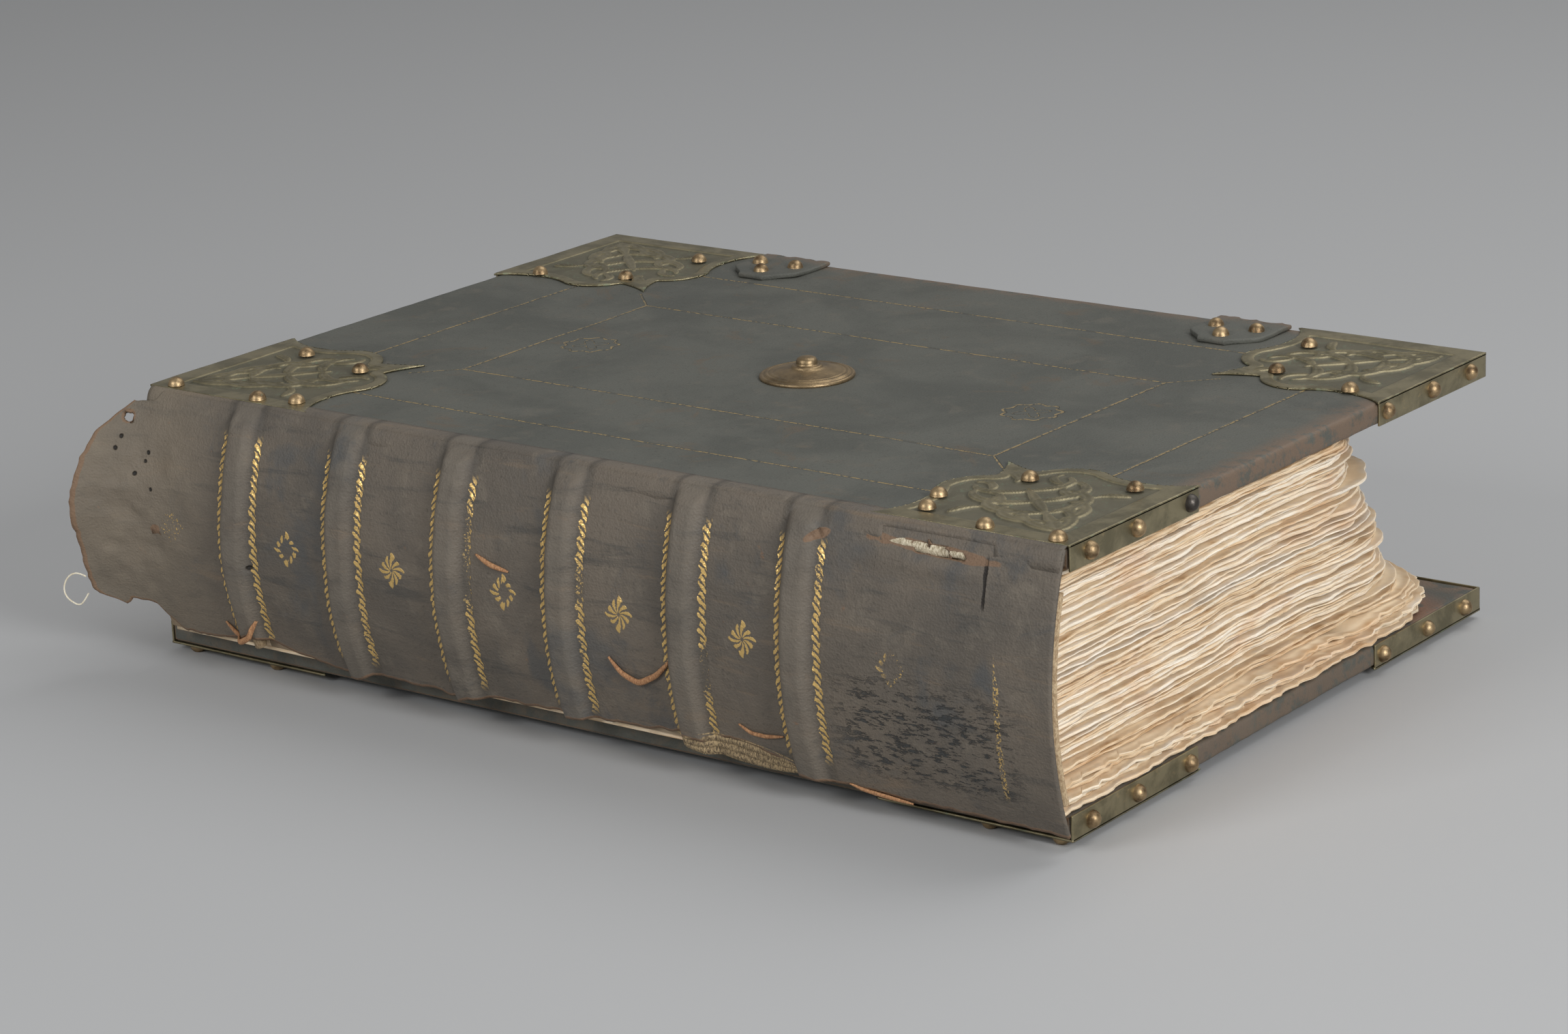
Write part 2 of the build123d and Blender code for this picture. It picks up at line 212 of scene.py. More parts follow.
def roundedSlab(low, high, radius, step, bend=None):
    """A block with rounded edges, as points and quads. bend moves the finished points."""
    low, high = np.array(low, float), np.array(high, float)
    steps = [edgeSteps(low[k], high[k], radius, step) for k in range(3)]
    parts = []
    for axis in range(3):
        a, b = [k for k in range(3) if k != axis]
        s, t = np.meshgrid(steps[a], steps[b], indexing="ij")
        for side in (low[axis], high[axis]):
            points = np.zeros(s.shape + (3,))
            points[..., a], points[..., b], points[..., axis] = s, t, side
            parts.append((points, gridFaces(*s.shape)))
    points, faces = joinParts(parts)
    inner = np.clip(points, low + radius, high - radius)
    away = points - inner
    length = np.linalg.norm(away, axis=1, keepdims=True)
    points = inner + away / np.maximum(length, 1e-9) * radius
    keys, order = np.unique(np.round(points, 4), axis=0, return_inverse=True)
    order = order.reshape(-1)
    faces = [[order[i] for i in f] for f in faces]
    faces = [f for f in faces if len(set(f)) == 4]
    return (bend(keys) if bend else keys), faces


def turned(profile, count, wobble=0.0, seed=0):
    """A solid of revolution about z from (radius, height) pairs that start and end on the axis."""
    rng = np.random.default_rng(seed)
    points, faces = [(0, 0, profile[0][1])], []
    for radius, height in profile[1:-1]:
        for k in range(count):
            angle = 2 * pi * k / count
            stretch = 1 + wobble * rng.uniform(-1, 1)
            points.append((radius * cos(angle) * stretch, radius * sin(angle) * stretch, height))
    points.append((0, 0, profile[-1][1]))
    rings = len(profile) - 2
    for k in range(count):
        n = (k + 1) % count
        faces.append([0, 1 + k, 1 + n])
        faces.append([len(points) - 1, 1 + (rings - 1) * count + n, 1 + (rings - 1) * count + k])
        for ring in range(rings - 1):
            a, b = 1 + ring * count, 1 + (ring + 1) * count
            faces.append([a + k, b + k, b + n, a + n])
    return np.array(points, float), faces


# ---------- materials

class Value:
    """A socket that does arithmetic, so that a pattern reads as an expression."""

    def __init__(self, finish, link):
        self.finish, self.link = finish, link

    def do(self, operation, *others):
        inputs = {0: self}
        for index, other in enumerate(others, 1):
            inputs[index] = other
        return self.finish.node("ShaderNodeMath", {"operation": operation}, inputs)

    def __add__(self, other):
        return self.do("ADD", other)

    __radd__ = __add__

    def __mul__(self, other):
        return self.do("MULTIPLY", other)

    __rmul__ = __mul__

    def __sub__(self, other):
        return self.do("SUBTRACT", other)

    def __rsub__(self, other):
        return self.do("MULTIPLY_ADD", -1.0, other)

    def __truediv__(self, other):
        return self.do("DIVIDE", other)

    def __abs__(self):
        return self.do("ABSOLUTE")

    def least(self, other):
        return self.do("MINIMUM", other)

    def most(self, other):
        return self.do("MAXIMUM", other)

    def rise(self, low, high):
        """0 below low, 1 above high, smooth between."""
        return self.finish.node(
            "ShaderNodeMapRange",
            {"interpolation_type": "SMOOTHSTEP", "clamp": True},
            {"Value": self, "From Min": low, "From Max": high, "To Min": 0.0, "To Max": 1.0},
        )

    def fall(self, low, high):
        return 1.0 - self.rise(low, high)


class Finish:
    """A material that is built node by node."""

    def __init__(self, name, **constants):
        self.material = bpy.data.materials.new(name)
        self.material.use_nodes = True
        self.tree = self.material.node_tree
        self.tree.nodes.clear()
        self.surface = self.tree.nodes.new("ShaderNodeBsdfPrincipled")
        output = self.tree.nodes.new("ShaderNodeOutputMaterial")
        self.tree.links.new(self.surface.outputs[0], output.inputs[0])
        for key, value in constants.items():
            self.surface.inputs[key].default_value = value

    def node(self, kind, settings=None, inputs=None, out=0):
        made = self.tree.nodes.new(kind)
        for key, value in (settings or {}).items():
            if key == "stops":
                ramp = made.color_ramp
                while len(ramp.elements) < len(value):
                    ramp.elements.new(0.5)
                for element, (place, colour) in zip(ramp.elements, value):
                    element.position, element.color = place, (*colour, 1.0)
            else:
                setattr(made, key, value)
        for key, value in (inputs or {}).items():
            self.join(value, made.inputs[key])
        return Value(self, made.outputs[out])

    def join(self, value, socket):
        if isinstance(value, Value):
            self.tree.links.new(value.link, socket)
        elif isinstance(value, tuple) and len(value) == 3 and socket.type == "RGBA":
            socket.default_value = (*value, 1.0)
        else:
            socket.default_value = value

    def coordinates(self, stretch=(1.0, 1.0, 1.0), source="Object"):
        space = self.node("ShaderNodeTexCoord")
        space.link = self.tree.nodes[space.link.node.name].outputs[source]
        if stretch == (1.0, 1.0, 1.0):
            return space
        return self.node("ShaderNodeMapping", None, {"Vector": space, "Scale": stretch})

    def split(self, vector):
        apart = self.node("ShaderNodeSeparateXYZ", None, {0: vector})
        made = apart.link.node
        return [Value(self, made.outputs[k]) for k in range(3)]

    def grain(self, where, size, detail=4.0, rough=0.55, twist=0.0):
        """Noise with features of the given size in millimetres, 0 to 1."""
        inputs = {"Vector": where, "Scale": 1000.0 / size, "Detail": detail, "Roughness": rough}
        inputs["Distortion"] = twist
        return self.node("ShaderNodeTexNoise", None, inputs)

    def cells(self, where, size):
        inputs = {"Vector": where, "Scale": 1000.0 / size}
        return self.node("ShaderNodeTexVoronoi", {"feature": "F1"}, inputs)

    def attribute(self, name):
        return self.node("ShaderNodeAttribute", {"attribute_name": name}, None, "Fac")

    def mix(self, low, high, share):
        return self.node("ShaderNodeMix", {"data_type": "RGBA"}, {0: share, 6: low, 7: high}, 2)

    def ramp(self, value, stops):
        return self.node("ShaderNodeValToRGB", {"stops": stops}, {0: value})

    def paint(self, colour=None, roughness=None, metal=None):
        for key, value in (("Base Color", colour), ("Roughness", roughness), ("Metallic", metal)):
            if value is not None:
                self.join(value, self.surface.inputs[key])

    def bump(self, *layers):
        """Each layer is (height in millimetres as a socket, strength)."""
        normal = None
        for height, depth in layers:
            inputs = {"Height": height, "Distance": depth * 0.001, "Strength": 1.0}
            if normal is not None:
                inputs["Normal"] = normal
            normal = self.node("ShaderNodeBump", None, inputs)
        self.join(normal, self.surface.inputs["Normal"])


leatherTones = {
    "dark": (0.038, 0.036, 0.03),
    "slate": (0.075, 0.077, 0.066),
    "worn": (0.13, 0.118, 0.095),
    "brown": (0.12, 0.088, 0.058),
    "gold": (0.78, 0.53, 0.2),
}


def leatherBase(finish, tones, where):
    """Mottled calf: broad stains, mid scuffs and fine pores. Returns colour, height and scuff."""
    broad = finish.grain(where, 60.0, 4.0, 0.6, 0.4)
    mid = finish.grain(where, 14.0, 5.0, 0.65, 0.3)
    fine = finish.grain(where, 1.6, 3.0, 0.7)
    pores = finish.cells(where, 0.9)
    colour = finish.mix(tones[0], tones[1], broad.rise(0.34, 0.62))
    colour = finish.mix(colour, tones[2], mid.rise(0.52, 0.74) * 0.55)
    colour = finish.mix(colour, tones[3], finish.grain(where, 26.0, 6.0, 0.7, 0.8).rise(0.56, 0.72) * 0.6)
    colour = finish.mix(colour, leatherTones["dark"], fine.rise(0.56, 0.75) * 0.45)
    height = fine * 0.5 + pores * 0.35 + mid * 0.9
    return colour, height, mid


def sizeOf(value, centre, scale=1000.0):
    """A coordinate in metres as millimetres from a centre given in book millimetres."""
    return value * scale - centre


def frameDistance(x, y, x0, x1, y0, y1):
    """How far outside a rectangle a point is, measured square to its nearest side."""
    across = abs(sizeOf(x, (x0 + x1) / 2 - originX)) - (x1 - x0) / 2
    along = abs(sizeOf(y, (y0 + y1) / 2 - originY)) - (y1 - y0) / 2
    return across, along


tooling = {
    "outer": (44.5, 405.0, 34.0, 254.0),
    "inner": (94.0, 352.0, 83.0, 201.0),
    "mitre": 15.5,
    "line": 0.42,
    "rosettes": ((115.0, 138.0), (330.5, 140.0)),
    "rosette": 11.0,
}


def coverLeather(name, tooled):
    finish = Finish(name)
    where = finish.coordinates()
    x, y, _ = finish.split(where)
    tones = (leatherTones["slate"], (0.1, 0.101, 0.086), leatherTones["worn"], leatherTones["brown"])
    colour, height, scuff = leatherBase(finish, tones, where)
    rough = 0.5 + scuff * 0.2
    metal = None
    if tooled:
        across, along = frameDistance(x, y, *tooling["outer"])
        outer = abs(across.most(along))
        inAcross, inAlong = frameDistance(x, y, *tooling["inner"])
        inner = abs(inAcross.most(inAlong))
        line = outer.least(inner)
        diagonal = abs(inAcross - inAlong * 1.02)
        onMitre = inAcross.rise(-0.5, 0.5) * inAlong.rise(-0.5, 0.5) * inAcross.fall(tooling["mitre"], 17.0)
        line = line.least(diagonal + (1.0 - onMitre) * 9.0)
        for place in tooling["rosettes"]:
            dx, dy = sizeOf(x, place[0] - originX), sizeOf(y, place[1] - originY)
            radius = (dx * dx + dy * dy).do("SQRT")
            angle = dy.do("ARCTAN2", dx)
            ring = abs(radius - tooling["rosette"] + (angle * 9.0).do("SINE") * 0.9)
            petal = abs(radius - 5.0 + (angle * 4.0).do("COSINE") * 2.4)
            line = line.least(ring).least(petal + 0.25)
        wear = finish.grain(where, 9.0, 3.0, 0.6)
        fleck = finish.grain(where, 1.5, 2.0, 0.7)
        blind = line.fall(tooling["line"], tooling["line"] + 0.7)
        gilt = line.fall(tooling["line"] * 0.8, tooling["line"] * 1.6)
        gilt = gilt * fleck.rise(0.43, 0.52) * wear.rise(0.32, 0.45)
        colour = finish.mix(colour, leatherTones["dark"], blind * 0.4)
        colour = finish.mix(colour, (0.42, 0.31, 0.15), gilt * 0.85)
        metal = gilt * 0.6
        height = height - blind * 1.2
    edge = finish.grain(where, 7.0, 4.0, 0.7)
    spineEdge = sizeOf(y, 3.0 - originY).fall(0.0, 6.0) * edge.rise(0.45, 0.6)
    colour = finish.mix(colour, (0.15, 0.115, 0.08), spineEdge * 0.5)
    outerEdge = sizeOf(x, 436.0 - originX).rise(-10.0, 3.0).most(sizeOf(y, 293.0 - originY).rise(-8.0, 4.0))
    colour = finish.mix(colour, (0.17, 0.115, 0.078), outerEdge * edge.rise(0.36, 0.52) * 0.8)
    if name == "lowerLeather":
        dx, dy = sizeOf(x, 408.0 - originX) * 0.8, sizeOf(y, 262.0 - originY)
        patch = (dx * dx + dy * dy).do("SQRT").fall(12.0, 30.0)
        colour = finish.mix(colour, (0.24, 0.115, 0.065), patch * edge.rise(0.38, 0.5) * 0.8)
    finish.paint(colour, rough, metal)
    finish.surface.inputs["Specular IOR Level"].default_value = 0.35
    finish.bump((height, 0.28))
    return finish.material


spineTools = {
    "rollAway": 8.9,
    "rollHalf": 1.35,
    "rollPitch": 2.9,
    "stamps": (20.8, 83.2, 138.0, 193.4, 248.6, 306.0, 371.6),
    "stampHeight": 62.0,
    "stampSize": (6.4, 7.6),
    "tailLine": 416.5,
    "wormHoles": (
        (8.0, 90.0), (7.0, 86.7), (3.0, 81.7), (11.0, 76.0), (-5.0, 95.5), (-6.6, 91.0), (64.0, 52.0),
    ),
    "crack": 409.5,
}


def giltRolls(finish, x, up, across, chips):
    """Leafy rolls beside each band, and what is left of one at the tail, 0 to 1."""
    away = across - spineTools["rollAway"]
    tail = abs(sizeOf(x, spineTools["tailLine"] - originX))
    stem = (up * (2 * pi / 6.1)).do("SINE")
    leaf = (up * (2 * pi / spineTools["rollPitch"]) + away * 2.3).do("COSINE") * 0.5 + 0.5
    edge = finish.grain(finish.coordinates(), 2.4, 2.0, 0.6) * 0.8 + spineTools["rollHalf"] - 0.45
    shape = abs(away + stem * 0.35).do("LESS_THAN", edge) * (leaf * 0.5 + chips)
    gilt = shape.rise(0.62, 0.72)
    worn = finish.grain(finish.coordinates((1.0, 1.0, 0.3)), 13.0, 2.0, 0.5)
    gilt = gilt * (worn + chips * 0.35).rise(0.5, 0.6)
    last = tail.fall(0.6, 1.5) * chips.rise(0.52, 0.58) * worn.rise(0.5, 0.56) * up.fall(80.0, 86.0)
    gilt = gilt.most(last)
    return gilt * up.fall(99.0, 104.0) * up.rise(17.0, 25.0)


def giltFlowers(finish, x, up, chips):
    """One small flower in a lozenge in each compartment, 0 to 1."""
    offset = None
    for place in spineTools["stamps"]:
        step = sizeOf(x, place - originX)
        offset = step if offset is None else nearerOf(offset, step)
    wide, tall = spineTools["stampSize"]
    rise = up - spineTools["stampHeight"]
    lozenge = abs(offset) / wide + abs(rise) / tall
    angle = rise.do("ARCTAN2", offset)
    petals = (angle * 10.0 + lozenge * 5.0).do("COSINE") * 0.5 + 0.5
    hollow = finish.grain(finish.coordinates((1.0, 1.0, 0.01)), 47.0, 1.0, 0.5)
    outline = lozenge - petals * 0.14
    flower = outline.fall(0.86, 0.94) * (lozenge - hollow.rise(0.44, 0.56) * 0.5).rise(0.08, 0.2)
    flower = flower * (petals * 0.55 + chips * 0.9).rise(0.62, 0.72)
    kept = sizeOf(x, 371.0 - originX).fall(-14.0, 2.0).most(chips.rise(0.56, 0.6) * outline.rise(0.6, 0.7))
    kept = kept * sizeOf(x, 36.0 - originX).rise(-8.0, 12.0).most(chips.rise(0.58, 0.62))
    return flower * kept


def spineLeather():
    """Brown-grey calf, blue-grey where it is rubbed, with gilt rolls and flowers."""
    finish = Finish("spineLeather")
    where = finish.coordinates()
    x, _, z = finish.split(where)
    up = z * 1000.0
    tones = ((0.102, 0.088, 0.072), (0.142, 0.118, 0.092), (0.19, 0.162, 0.126), (0.068, 0.071, 0.072))
    colour, height, scuff = leatherBase(finish, tones, where)
    along = finish.coordinates((0.3, 1.0, 2.4))
    streak = finish.grain(along, 18.0, 6.0, 0.7, 0.6)
    colour = finish.mix(colour, (0.05, 0.05, 0.047), streak.rise(0.54, 0.7) * 0.6)
    colour = finish.mix(colour, (0.2, 0.145, 0.095), streak.fall(0.3, 0.44) * 0.45)
    blue = finish.grain(where, 42.0, 4.0, 0.6, 0.5)
    colour = finish.mix(colour, (0.062, 0.07, 0.076), blue.rise(0.55, 0.68) * 0.55)
    head = sizeOf(x, 45.0 - originX).fall(-30.0, 12.0)
    colour = finish.mix(colour, (0.2, 0.165, 0.12), head * (0.25 + scuff * 0.5))
    across = None
    for band in book["bands"]:
        offset = abs(sizeOf(x, band - originX))
        across = offset if across is None else across.least(offset)
    crest = across.fall(3.0, 9.0)
    colour = finish.mix(colour, (0.155, 0.135, 0.108), crest * finish.grain(where, 9.0).rise(0.3, 0.6) * 0.6)
    # Painted shade: the leather is darkened in a strip round the foot of each raised band, where the crease
    # lies in shade.
    foot = abs(across - 7.6).fall(0.0, 2.2)
    colour = finish.mix(colour, (0.045, 0.04, 0.035), foot * 0.4)
    pitting = finish.grain(finish.coordinates((0.4, 1.0, 1.5)), 2.6, 4.0, 0.75)
    tail = sizeOf(x, 385.0 - originX)
    pits = pitting.rise(0.52, 0.6) * abs(tail).fall(25.0, 48.0) * up.rise(14.0, 24.0) * up.fall(45.0, 66.0)
    colour = finish.mix(colour, (0.03, 0.034, 0.036), pits * 0.85)
    rust = finish.grain(where, 8.0, 5.0, 0.7)
    colour = finish.mix(colour, (0.23, 0.115, 0.055), rust.rise(0.66, 0.78) * 0.7)
    holes = None
    for place, level in spineTools["wormHoles"]:
        dx, dz = sizeOf(x, place - originX), up - level
        far = (dx * dx + dz * dz).do("SQRT")
        holes = far if holes is None else holes.least(far)
    worm = (holes + rust * 1.6).fall(1.2, 1.9)
    colour = finish.mix(colour, (0.012, 0.01, 0.008), worm)
    crack = abs(sizeOf(x, spineTools["crack"] - originX) + rust * 2.4 - 1.2).fall(0.3, 0.8)
    crack = crack * up.rise(88.0, 91.0) * up.fall(103.0, 108.0)
    colour = finish.mix(colour, (0.016, 0.012, 0.009), crack)
    chips = finish.grain(where, 1.0, 2.0, 0.75)
    gilt = giltRolls(finish, x, up, across, chips).most(giltFlowers(finish, x, up, chips))
    shade = finish.mix(colour, leatherTones["dark"], 0.5)
    colour = finish.mix(colour, shade, abs(across - spineTools["rollAway"]).fall(1.2, 2.2) * 0.5)
    colour = finish.mix(colour, leatherTones["gold"], gilt)
    raw = finish.attribute("raw")
    colour = finish.mix(colour, (0.2, 0.12, 0.07), (raw + rust * 0.6 - 0.5).rise(0.15, 0.5) * 0.8)
    finish.paint(colour, (0.5 + scuff * 0.2) - gilt * 0.25, gilt * 0.85)
    finish.surface.inputs["Specular IOR Level"].default_value = 0.36
    finish.bump((height + streak * 1.2 - pits * 1.5 - worm * 3.0 - crack * 3.0, 0.4), (gilt, 0.1))
    return finish.material


def nearerOf(first, second):
    """Of two signed offsets, the one nearer to zero."""
    nearer = (abs(first) - abs(second)).do("GREATER_THAN", 0.0)
    return first + (second - first) * nearer


def leafPaper():
    """Soiled rag paper at the leaves' edges. The map's height follows the leaves, however they wave."""
    finish = Finish("leafPaper")
    where = finish.coordinates()
    layers = finish.coordinates((0.03, 1.0, 0.0), "UV")
    fine = finish.grain(layers, 0.42, 2.0, 0.8, 0.05)
    mid = finish.grain(finish.coordinates((0.06, 1.0, 0.0), "UV"), 1.7, 3.0, 0.6, 0.1)
    stain = finish.grain(finish.coordinates((0.35, 0.35, 1.0)), 24.0, 5.0, 0.65, 0.8)
    speck = finish.grain(where, 2.0, 4.0, 0.75, 0.4)
    tone = finish.attribute("tone")
    level = fine * 0.5 + mid * 0.3 + tone * 0.24
    colour = finish.ramp(
        level,
        (
            (0.34, (0.46, 0.28, 0.14)),
            (0.43, (0.76, 0.56, 0.35)),
            (0.52, (0.9, 0.74, 0.53)),
            (0.64, (0.96, 0.88, 0.75)),
        ),
    )
    colour = finish.mix(colour, (0.72, 0.41, 0.2), stain.rise(0.52, 0.68) * 0.38)
    colour = finish.mix(colour, (0.52, 0.46, 0.34), stain.fall(0.3, 0.42) * 0.4)
    colour = finish.mix(colour, (0.33, 0.19, 0.1), speck.rise(0.62, 0.74) * 0.5)
    # Painted shade: the leaves are darkened on the rows drawn in at each gathering's top and bottom, where
    # the gaps between gatherings lie in shade.
    deep = finish.attribute("deep")
    colour = finish.mix(colour, (0.24, 0.14, 0.07), deep * (0.2 + mid * 0.6))
    flat = finish.attribute("flat").rise(0.05, 0.45)
    cloud = finish.grain(where, 30.0, 5.0, 0.6)
    page = finish.mix((0.66, 0.5, 0.33), (0.84, 0.7, 0.5), cloud.rise(0.35, 0.6))
    colour = finish.mix(colour, page, flat)
    finish.paint(colour, 0.85)
    finish.surface.inputs["Specular IOR Level"].default_value = 0.15
    finish.bump(((fine + speck * 0.3) * (1.0 - flat), 0.4))
    return finish.material


def plainPaper(name, low, high):
    finish = Finish(name)
    where = finish.coordinates()
    cloud = finish.grain(where, 45.0, 6.0, 0.65, 0.6)
    speck = finish.grain(where, 3.0, 4.0, 0.8)
    colour = finish.mix(low, high, cloud.rise(0.3, 0.65))
    colour = finish.mix(colour, (0.24, 0.14, 0.07), speck.rise(0.62, 0.8) * 0.5)
    finish.paint(colour, 0.85)
    finish.bump((speck, 0.12))
    return finish.material


def patinaBrass():
    """Olive patina, rubbed on the raised work, dark in the low work, with verdigris here and there."""
    finish = Finish("patinaBrass")
    where = finish.coordinates()
    raised = finish.attribute("raised")
    rim = finish.attribute("rim")
    cloud = finish.grain(where, 13.0, 5.0, 0.65, 0.4)
    fine = finish.grain(where, 1.3, 3.0, 0.7)
    scratch = finish.grain(finish.coordinates((6.0, 0.7, 1.0)), 4.0, 3.0, 0.7)
    colour = finish.mix((0.2, 0.175, 0.105), (0.33, 0.285, 0.175), cloud.rise(0.35, 0.62))
    colour = finish.mix(colour, (0.5, 0.38, 0.2), scratch.rise(0.6, 0.74) * 0.5)
    colour = finish.mix(colour, (0.075, 0.07, 0.048), (1.0 - raised).rise(0.25, 0.7) * 0.85)
    patchy = finish.grain(where, 6.0, 3.0, 0.6)
    green = rim.rise(0.3, 0.9) * (fine * 0.5 + patchy * 0.8).rise(0.68, 0.84)
    low = (1.0 - raised) * fine.rise(0.5, 0.64) * patchy.rise(0.5, 0.64)
    green = green.most(low * 0.7)
    colour = finish.mix(colour, (0.15, 0.21, 0.14), green * 0.6)
    rough = 0.4 + green * 0.35 + (1.0 - raised) * 0.25
    finish.paint(colour, rough, (0.9 - green * 0.7) * (0.25 + raised * 0.75))
    finish.bump((fine * 0.5 + cloud, 0.16), (scratch, 0.04))
    return finish.material


def plainBrass(name, dark, bright, green, size=5.0):
    """Handled brass: bright and brown in broad patches, with a little verdigris."""
    finish = Finish(name)
    where = finish.coordinates()
    cloud = finish.grain(where, size, 4.0, 0.6)
    fine = finish.grain(where, 0.9, 3.0, 0.7)
    colour = finish.mix(dark, bright, cloud.rise(0.32, 0.62))
    crust = fine.rise(0.56, 0.7) * cloud.fall(0.35, 0.5)
    colour = finish.mix(colour, (0.1, 0.17, 0.11), crust * green)
    finish.paint(colour, 0.34 + fine * 0.2, 0.95 - crust * 0.5)
    finish.bump((fine + cloud, 0.1))
    return finish.material


def wood():
    finish = Finish("darkOak")
    where = finish.coordinates((1.0, 12.0, 12.0))
    grain = finish.grain(where, 60.0, 6.0, 0.7, 1.2)
    colour = finish.mix((0.09, 0.05, 0.028), (0.2, 0.12, 0.065), grain.rise(0.35, 0.65))
    finish.paint(colour, 0.7)
    finish.bump((grain, 0.3))
    return finish.material


def fibre(name, low, high):
    finish = Finish(name)
    twist = finish.grain(finish.coordinates((3.0, 1.0, 1.0)), 1.4, 3.0, 0.7, 0.5)
    finish.paint(finish.mix(low, high, twist.rise(0.35, 0.65)), 0.85)
    finish.bump((twist, 0.2))
    return finish.material


finishes = {
    "upper": coverLeather("upperLeather", True),
    "lower": coverLeather("lowerLeather", True),
    "spine": spineLeather(),
    "leaves": leafPaper(),
    "pastedown": plainPaper("pastedownPaper", (0.42, 0.3, 0.18), (0.6, 0.47, 0.32)),
    "parchment": plainPaper("parchmentLining", (0.2, 0.145, 0.09), (0.36, 0.28, 0.19)),
    "lining": fibre("slitLining", (0.3, 0.24, 0.15), (0.72, 0.64, 0.48)),
    "foldedLining": fibre("foldedLining", (0.09, 0.065, 0.04), (0.42, 0.31, 0.17)),
    "peel": fibre("peeledSkin", (0.26, 0.12, 0.055), (0.5, 0.27, 0.13)),
    "plate": patinaBrass(),
    "nail": plainBrass("nailBrass", (0.15, 0.095, 0.05), (0.44, 0.32, 0.18), 0.6),
    "boss": plainBrass("bossBrass", (0.2, 0.145, 0.085), (0.33, 0.24, 0.135), 0.5, 9.0),
    "iron": plainBrass("darkIron", (0.04, 0.035, 0.032), (0.1, 0.09, 0.08), 0.0),
    "wood": wood(),
    "cord": fibre("hempCord", (0.3, 0.2, 0.11), (0.55, 0.42, 0.26)),
    "thread": fibre("linenThread", (0.66, 0.58, 0.42), (0.85, 0.8, 0.66)),
}
print("finishes made")


# ---------- camera, light, floor

def setCamera():
    """Low, from the tail end of the spine, with a long lens."""
    place = {
        "at": (1246.67, -1201.97, 572.48),
        "ahead": (-0.5847, 0.7564, -0.2933),
        "right": (0.7986, 0.6004, -0.0437),
    }
    ahead = Vector(place["ahead"]).normalized()
    right = Vector(place["right"])
    right = (right - ahead * right.dot(ahead)).normalized()
    up = right.cross(ahead)
    data = bpy.data.cameras.new("camera")
    data.lens, data.sensor_width, data.clip_end = 101.73, 36.0, 50.0
    camera = bpy.data.objects.new("camera", data)
    turn = Matrix((right, up, -ahead)).transposed().to_4x4()
    camera.matrix_world = Matrix.Translation(Vector(toModel(place["at"]))) @ turn
    bpy.context.collection.objects.link(camera)
    bpy.context.scene.camera = camera


def setLights():
    lamps = {
        "overhead": ((0.4, 1.0, 1.8), 1.6, 16.0),
        "front": ((-0.4, -2.0, 1.2), 0.7, 17.0),
        "right": ((1.9, -0.7, 0.95), 0.7, 29.0),
    }
    for name, (at, size, power) in lamps.items():
        data = bpy.data.lights.new(name, "AREA")
        data.size, data.energy = size, power
        lamp = bpy.data.objects.new(name, data)
        lamp.location = at
        lamp.rotation_euler = (Vector((0, 0, 0.05)) - Vector(at)).to_track_quat("-Z", "Y").to_euler()
        bpy.context.collection.objects.link(lamp)
    world = bpy.data.worlds.new("room")
    world.use_nodes = True
    world.node_tree.nodes["Background"].inputs[0].default_value = (1, 1, 1, 1)
    world.node_tree.nodes["Background"].inputs[1].default_value = 0.28
    bpy.context.scene.world = world
    bpy.context.scene.view_settings.view_transform = "Standard"


def setFloor():
    finish = Finish("floor")
    finish.paint((0.42, 0.425, 0.43), 0.7)
    data = bpy.data.meshes.new("floor")
    half = 6.0
    corners = [(-half, -half, 0), (half, -half, 0), (half, half, 0), (-half, half, 0)]
    data.from_pydata(corners, [], [(0, 1, 2, 3)])
    data.materials.append(finish.material)
    floor = bpy.data.objects.new("floor", data)
    bpy.context.collection.objects.link(floor)


setCamera()
setLights()
setFloor()


# ---------- covers

def coverSlab(name, way, finish, body, seed):
    """The leather-covered board: soft edges, a gently uneven face."""
    length, width, depth = book["boardLength"], book["boardWidth"], 8.5

    def unevenly(points):
        x, y = points[:, 0], points[:, 1]
        away = np.minimum.reduce([x, length - x, y, width - y])
        inside = smooth(away, 1.0, 12.0)
        top = smooth(points[:, 2], -2.0, 0.0)
        lift = noise(x, y, 34.0, seed) * 0.16 + noise(x, y, 9.0, seed + 1) * 0.05
        points[:, 2] += (lift - 0.12) * top * (0.35 + 0.65 * inside)
        nick = noise(x, y, 6.0, seed + 2) * 0.25 * (1 - inside)
        points[:, 1] += nick * (y > width / 2)
        points[:, 0] += nick * np.where(x > length / 2, 1.0, -1.0) * (y > 5)
        return points

    low, high = (0.9, 0.6, -depth), (length - 0.9, width - 0.9, 0.02)
    points, faces = roundedSlab(low, high, 1.9, 2.6, unevenly)
    piece = makePiece(name, points, faces, finish, way, level=True)
    settle(piece, body, "cover_leather", f"{body}_leather")


coverSlab("upperCover", onUpper, finishes["upper"], "front_cover", 3)
coverSlab("lowerCover", onLower, finishes["lower"], "back_cover", 13)
print("covers made")


# ---------- corner plates

plate = {
    "arm": 85.0,
    "thick": 0.9,
    "step": 0.78,
    "border": 5.4,
    "sink": 0.78,
    "fold": 84.0,
}


def arcThrough(a, b, c, count):
    """Points on the circle through three places, from the first to the last."""
    a, b, c = (complex(*p) for p in (a, b, c))
    w = (c - a) / (b - a)
    centre = a - (a - b) * (w - abs(w) ** 2) / (2j * w.imag)
    start, middle, end = (np.angle(p - centre) for p in (a, b, c))
    turn = (end - start) % (2 * pi)
    if (middle - start) % (2 * pi) > turn:
        turn -= 2 * pi
    angles = start + turn * np.linspace(0, 1, count)
    ring = centre + abs(a - centre) * np.exp(1j * angles)
    return np.stack([ring.real, ring.imag], -1)


